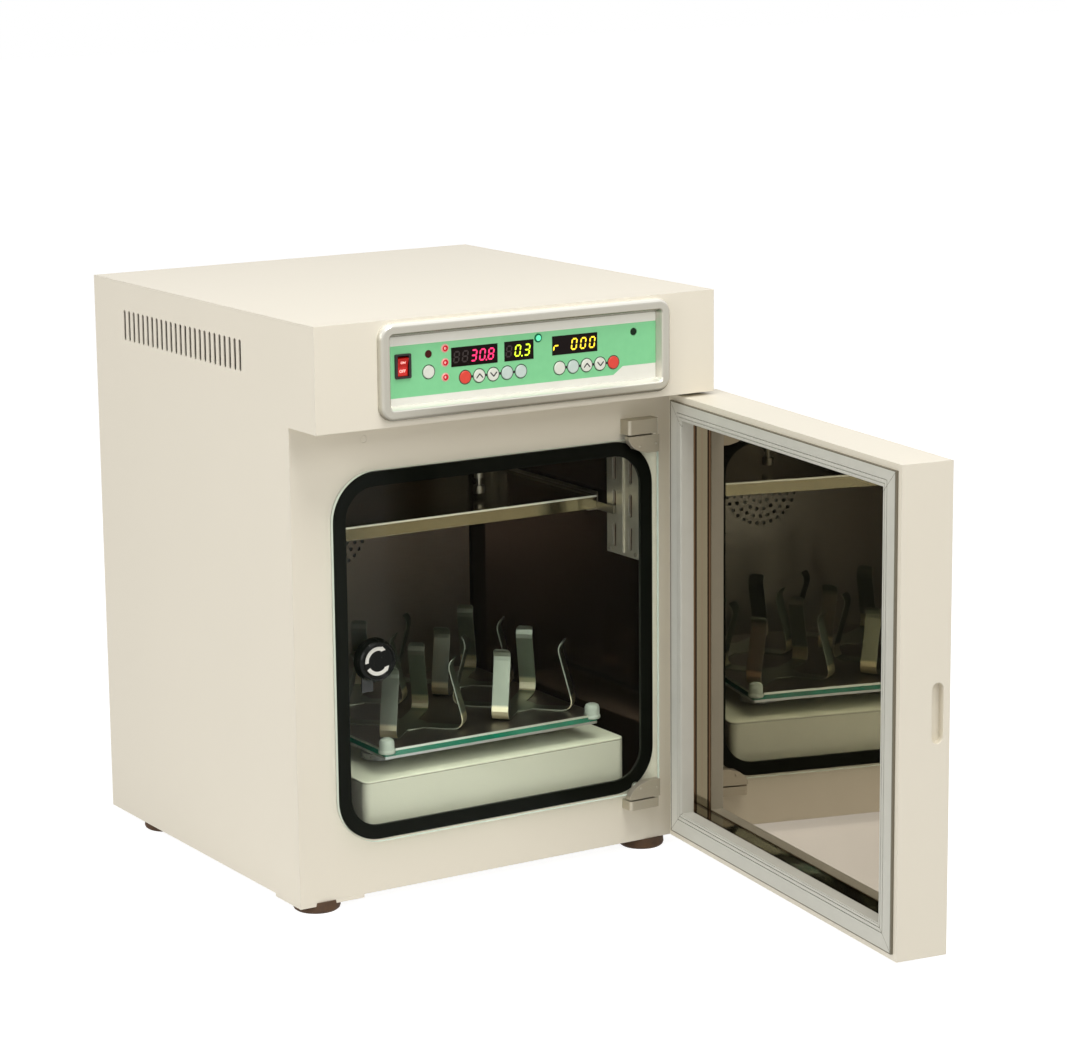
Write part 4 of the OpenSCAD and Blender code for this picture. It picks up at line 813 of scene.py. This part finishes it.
def switch_word(word, size, z):
    """A word moulded on the facet of the tilted rocker that lies z mm above its middle."""
    bpy.ops.object.select_all(action="DESELECT")
    bpy.ops.object.text_add()
    letters = bpy.context.object
    letters.data.body = word
    letters.data.size = size * mm
    letters.data.extrude = 0.12 * mm
    letters.data.offset = 0.06 * mm
    letters.data.align_x = "CENTER"
    letters.data.align_y = "CENTER"
    alone(letters)
    bpy.ops.object.convert(target="MESH")
    letters = bpy.context.object
    facet = facet_tilt if z > 0 else -facet_tilt
    letters.data.transform(
        Matrix.Translation(at(*pin_at)) @ Matrix.Rotation(rocker_tilt, 4, "X")
        @ Matrix.Translation(Vector((0, -valley - abs(z) * facet_rise, z)) * mm)
        @ Matrix.Rotation(math.pi / 2 + facet, 4, "X"))
    return letters


lit_word = light("lit_words", srgb(255, 176, 166), srgb(255, 214, 206), 0.9)
settle(switch_word("ON", 3.8, 5), "rocker_word_on", "rocker", lit_word)
settle(switch_word("OFF", 4.4, -4.6), "rocker_word_off", "rocker", lit_word)

# Keys
# Eleven round caps of moulded plastic on the switches of the board, in red, white and pale blue. Each has a
# printed ring round it, dots join the neighbours of a row, and four caps bear an arrow head.


def key_finish(name, dark, light):
    """Satin plastic of one colour, for the caps of that colour."""
    cap = Finish(name)
    cap.vary(cap.cloud(160, 3), dark, light, 0.34, 0.14)
    cap.feed("Normal", cap.relief(cap.cloud(2600, 2), 0.03 * mm, 0.3, cap.rounded(0.5 * mm)))
    return cap


red_cap = key_finish("red_key", srgb(222, 62, 50), srgb(236, 78, 62))
white_cap = key_finish("white_key", srgb(222, 226, 214), srgb(236, 238, 228))
blue_cap = key_finish("pale_blue_key", srgb(196, 214, 208), srgb(212, 226, 220))
red_cap.coat("key_1", "key_10")
white_cap.coat("key_2", "key_3", "key_6", "key_8", "key_9", "key_11")
blue_cap.coat("key_4", "key_5", "key_7")

printing = Finish("black_print")
printing.vary(printing.cloud(600, 2), srgb(12, 12, 11), srgb(28, 28, 26), 0.5, 0.1)

stroke_long, stroke_wide, stroke_proud = 6.9, 1.35, 0.08
stroke_turn, stroke_out = math.radians(48), 1.95
for key, up in (("key_2", 1), ("key_3", -1), ("key_8", 1), ("key_9", -1)):
    low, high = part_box(key)
    middle = (low + high) / 2
    places = [Matrix.Translation((middle.x + side * stroke_out * mm, low.y, middle.z))
              @ Matrix.Rotation(side * up * stroke_turn, 4, "Y") for side in (-1, 1)]
    settle(spread(bar(stroke_long * mm, stroke_wide * mm, stroke_proud * mm), places),
           key + "_mark", key + "_body", printing)

ring_radius, ring_wire, ring_flat = 7.75, 0.4, 0.25
film_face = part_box("control_panel")[0].y
caps = [(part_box("key_%d" % i)[0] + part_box("key_%d" % i)[1]) / 2 for i in range(1, 12)]
bpy.ops.object.select_all(action="DESELECT")
bpy.ops.mesh.primitive_torus_add(major_radius=ring_radius * mm, minor_radius=ring_wire * mm,
                                 major_segments=48, minor_segments=8, rotation=(math.pi / 2, 0, 0))
ring = bpy.context.object
fix(ring)
bpy.ops.object.mode_set(mode="EDIT")
bpy.ops.mesh.select_all(action="SELECT")
bpy.ops.transform.resize(value=(1, ring_flat, 1), center_override=(0, 0, 0))
bpy.ops.object.mode_set(mode="OBJECT")
settle(spread(ring, [Matrix.Translation((cap.x, film_face, cap.z)) for cap in caps]),
       "key_rings", "cabinet", printing)

left_row, right_row = caps[0:5], caps[5:10]
neighbours = list(zip(left_row, left_row[1:])) + list(zip(right_row, right_row[1:]))
settle(spread(disc(1.5 * mm, 0.16 * mm, 0.05 * mm),
              [Matrix.Translation(((cap.x + beside.x) / 2, film_face, cap.z)) for cap, beside in neighbours]),
       "key_links", "cabinet", printing)

# Services at the back
# A moulded mains inlet with three plated blades, a turned brass hose tail for gas, both fixed through the
# back panel, and a power supply in a zinc-plated case behind it.
brass = Finish("turned_brass", {"Metallic": 1.0})
turning = brass.cloud(1200, 2, (1, 0.1, 1))
brass.vary(turning, srgb(176, 142, 72), srgb(206, 176, 104), 0.22, 0.18)
brass.feed("Normal", brass.relief(turning, 0.05 * mm, 0.3, brass.rounded(0.4 * mm)))
brass.coat("gas_inlet")
black_moulding.coat("power_inlet")
zinc.coat("power_supply")

# Surroundings
# A white floor that keeps the shadow of the cabinet, a white background, three soft lamps and the camera.
# Floor and background look white, but the light that they throw on the cabinet is dimmer and warmer.


def looked_at(finish):
    """1 for a ray that looks, straight, by a mirror or through glass, and 0 for one that only lights."""
    straight, mirrored, through = (finish.node("ShaderNodeLightPath", out="Is %s Ray" % kind)
                                   for kind in ("Camera", "Glossy", "Transmission"))
    return straight.most(mirrored).most(through)


bpy.ops.object.select_all(action="DESELECT")
bpy.ops.mesh.primitive_plane_add(size=30)
floor = bpy.context.object
floor.name = "floor"
sweep = Finish("white_sweep", {"Roughness": 0.9, "Base Color": (0.8, 0.8, 0.8, 1)})
plain = Wire(sweep, sweep.shader.outputs[0])
paper = sweep.node("ShaderNodeBsdfDiffuse", {}, {"Color": (0.35, 0.35, 0.35, 1)})
glow = sweep.node("ShaderNodeEmission", {}, {"Color": (1, 1, 1, 1), "Strength": 0.92})
lit_paper = sweep.node("ShaderNodeAddShader", {}, {0: paper, 1: glow})
sweep.join(sweep.nodes["Material Output"].inputs["Surface"], sweep.blend(looked_at(sweep), plain, lit_paper))
floor.data.materials.append(sweep.material)


class Sky(Finish):
    """The world's nodes, joined in the same way as those of a finish."""

    def __init__(self, world):
        world.use_nodes = True
        self.nodes = world.node_tree.nodes
        self.links = world.node_tree.links
        self.shader = self.nodes["Background"]


world = bpy.data.worlds.new("surround")
bpy.context.scene.world = world
sky = Sky(world)
sky.feed("Color", (1, 0.95, 0.875, 1))
sky.feed("Strength", 0.35)
warm_fill = Wire(sky, sky.shader.outputs[0])
seen_white = sky.node("ShaderNodeBackground", {}, {"Color": (1, 1, 1, 1), "Strength": 1.0})
sky.join(sky.nodes["World Output"].inputs["Surface"], sky.blend(looked_at(sky), warm_fill, seen_white))


def softbox(name, place, towards, size, power):
    """A square lamp that hangs at a place and looks towards another, in metres and watts."""
    lamp = bpy.data.lights.new(name, "AREA")
    lamp.shape = "SQUARE"
    lamp.size = size
    lamp.energy = power
    lamp.color = (1, 0.99, 0.975)
    fixture = bpy.data.objects.new(name, lamp)
    bpy.context.scene.collection.objects.link(fixture)
    fixture.location = place
    fixture.rotation_euler = (Vector(towards) - Vector(place)).to_track_quat("-Z", "Y").to_euler()


softbox("overhead", (-0.3, -1.0, 3.0), (0, 0, 0.3), 1.4, 45)
softbox("front", (0.3, -3.2, 2.4), (0, 0, 0.3), 1.4, 27)
softbox("left", (-3.2, -0.6, 1.5), (0, 0.2, 0.3), 1.8, 38)

heading, dip, roll = math.radians(-32.04), math.radians(11.51), math.radians(-0.59)
eye = bpy.data.cameras.new("camera")
eye.lens = 112.0
eye.sensor_width = 36
camera = bpy.data.objects.new("camera", eye)
bpy.context.scene.collection.objects.link(camera)
camera.location = (-1.93159, -3.13249, 1.16723)
camera.rotation_euler = (Matrix.Rotation(heading, 4, "Z") @ Matrix.Rotation(math.pi / 2 - dip, 4, "X")
                         @ Matrix.Rotation(roll, 4, "Z")).to_euler()
bpy.context.scene.camera = camera
bpy.context.scene.view_settings.view_transform = "Standard"
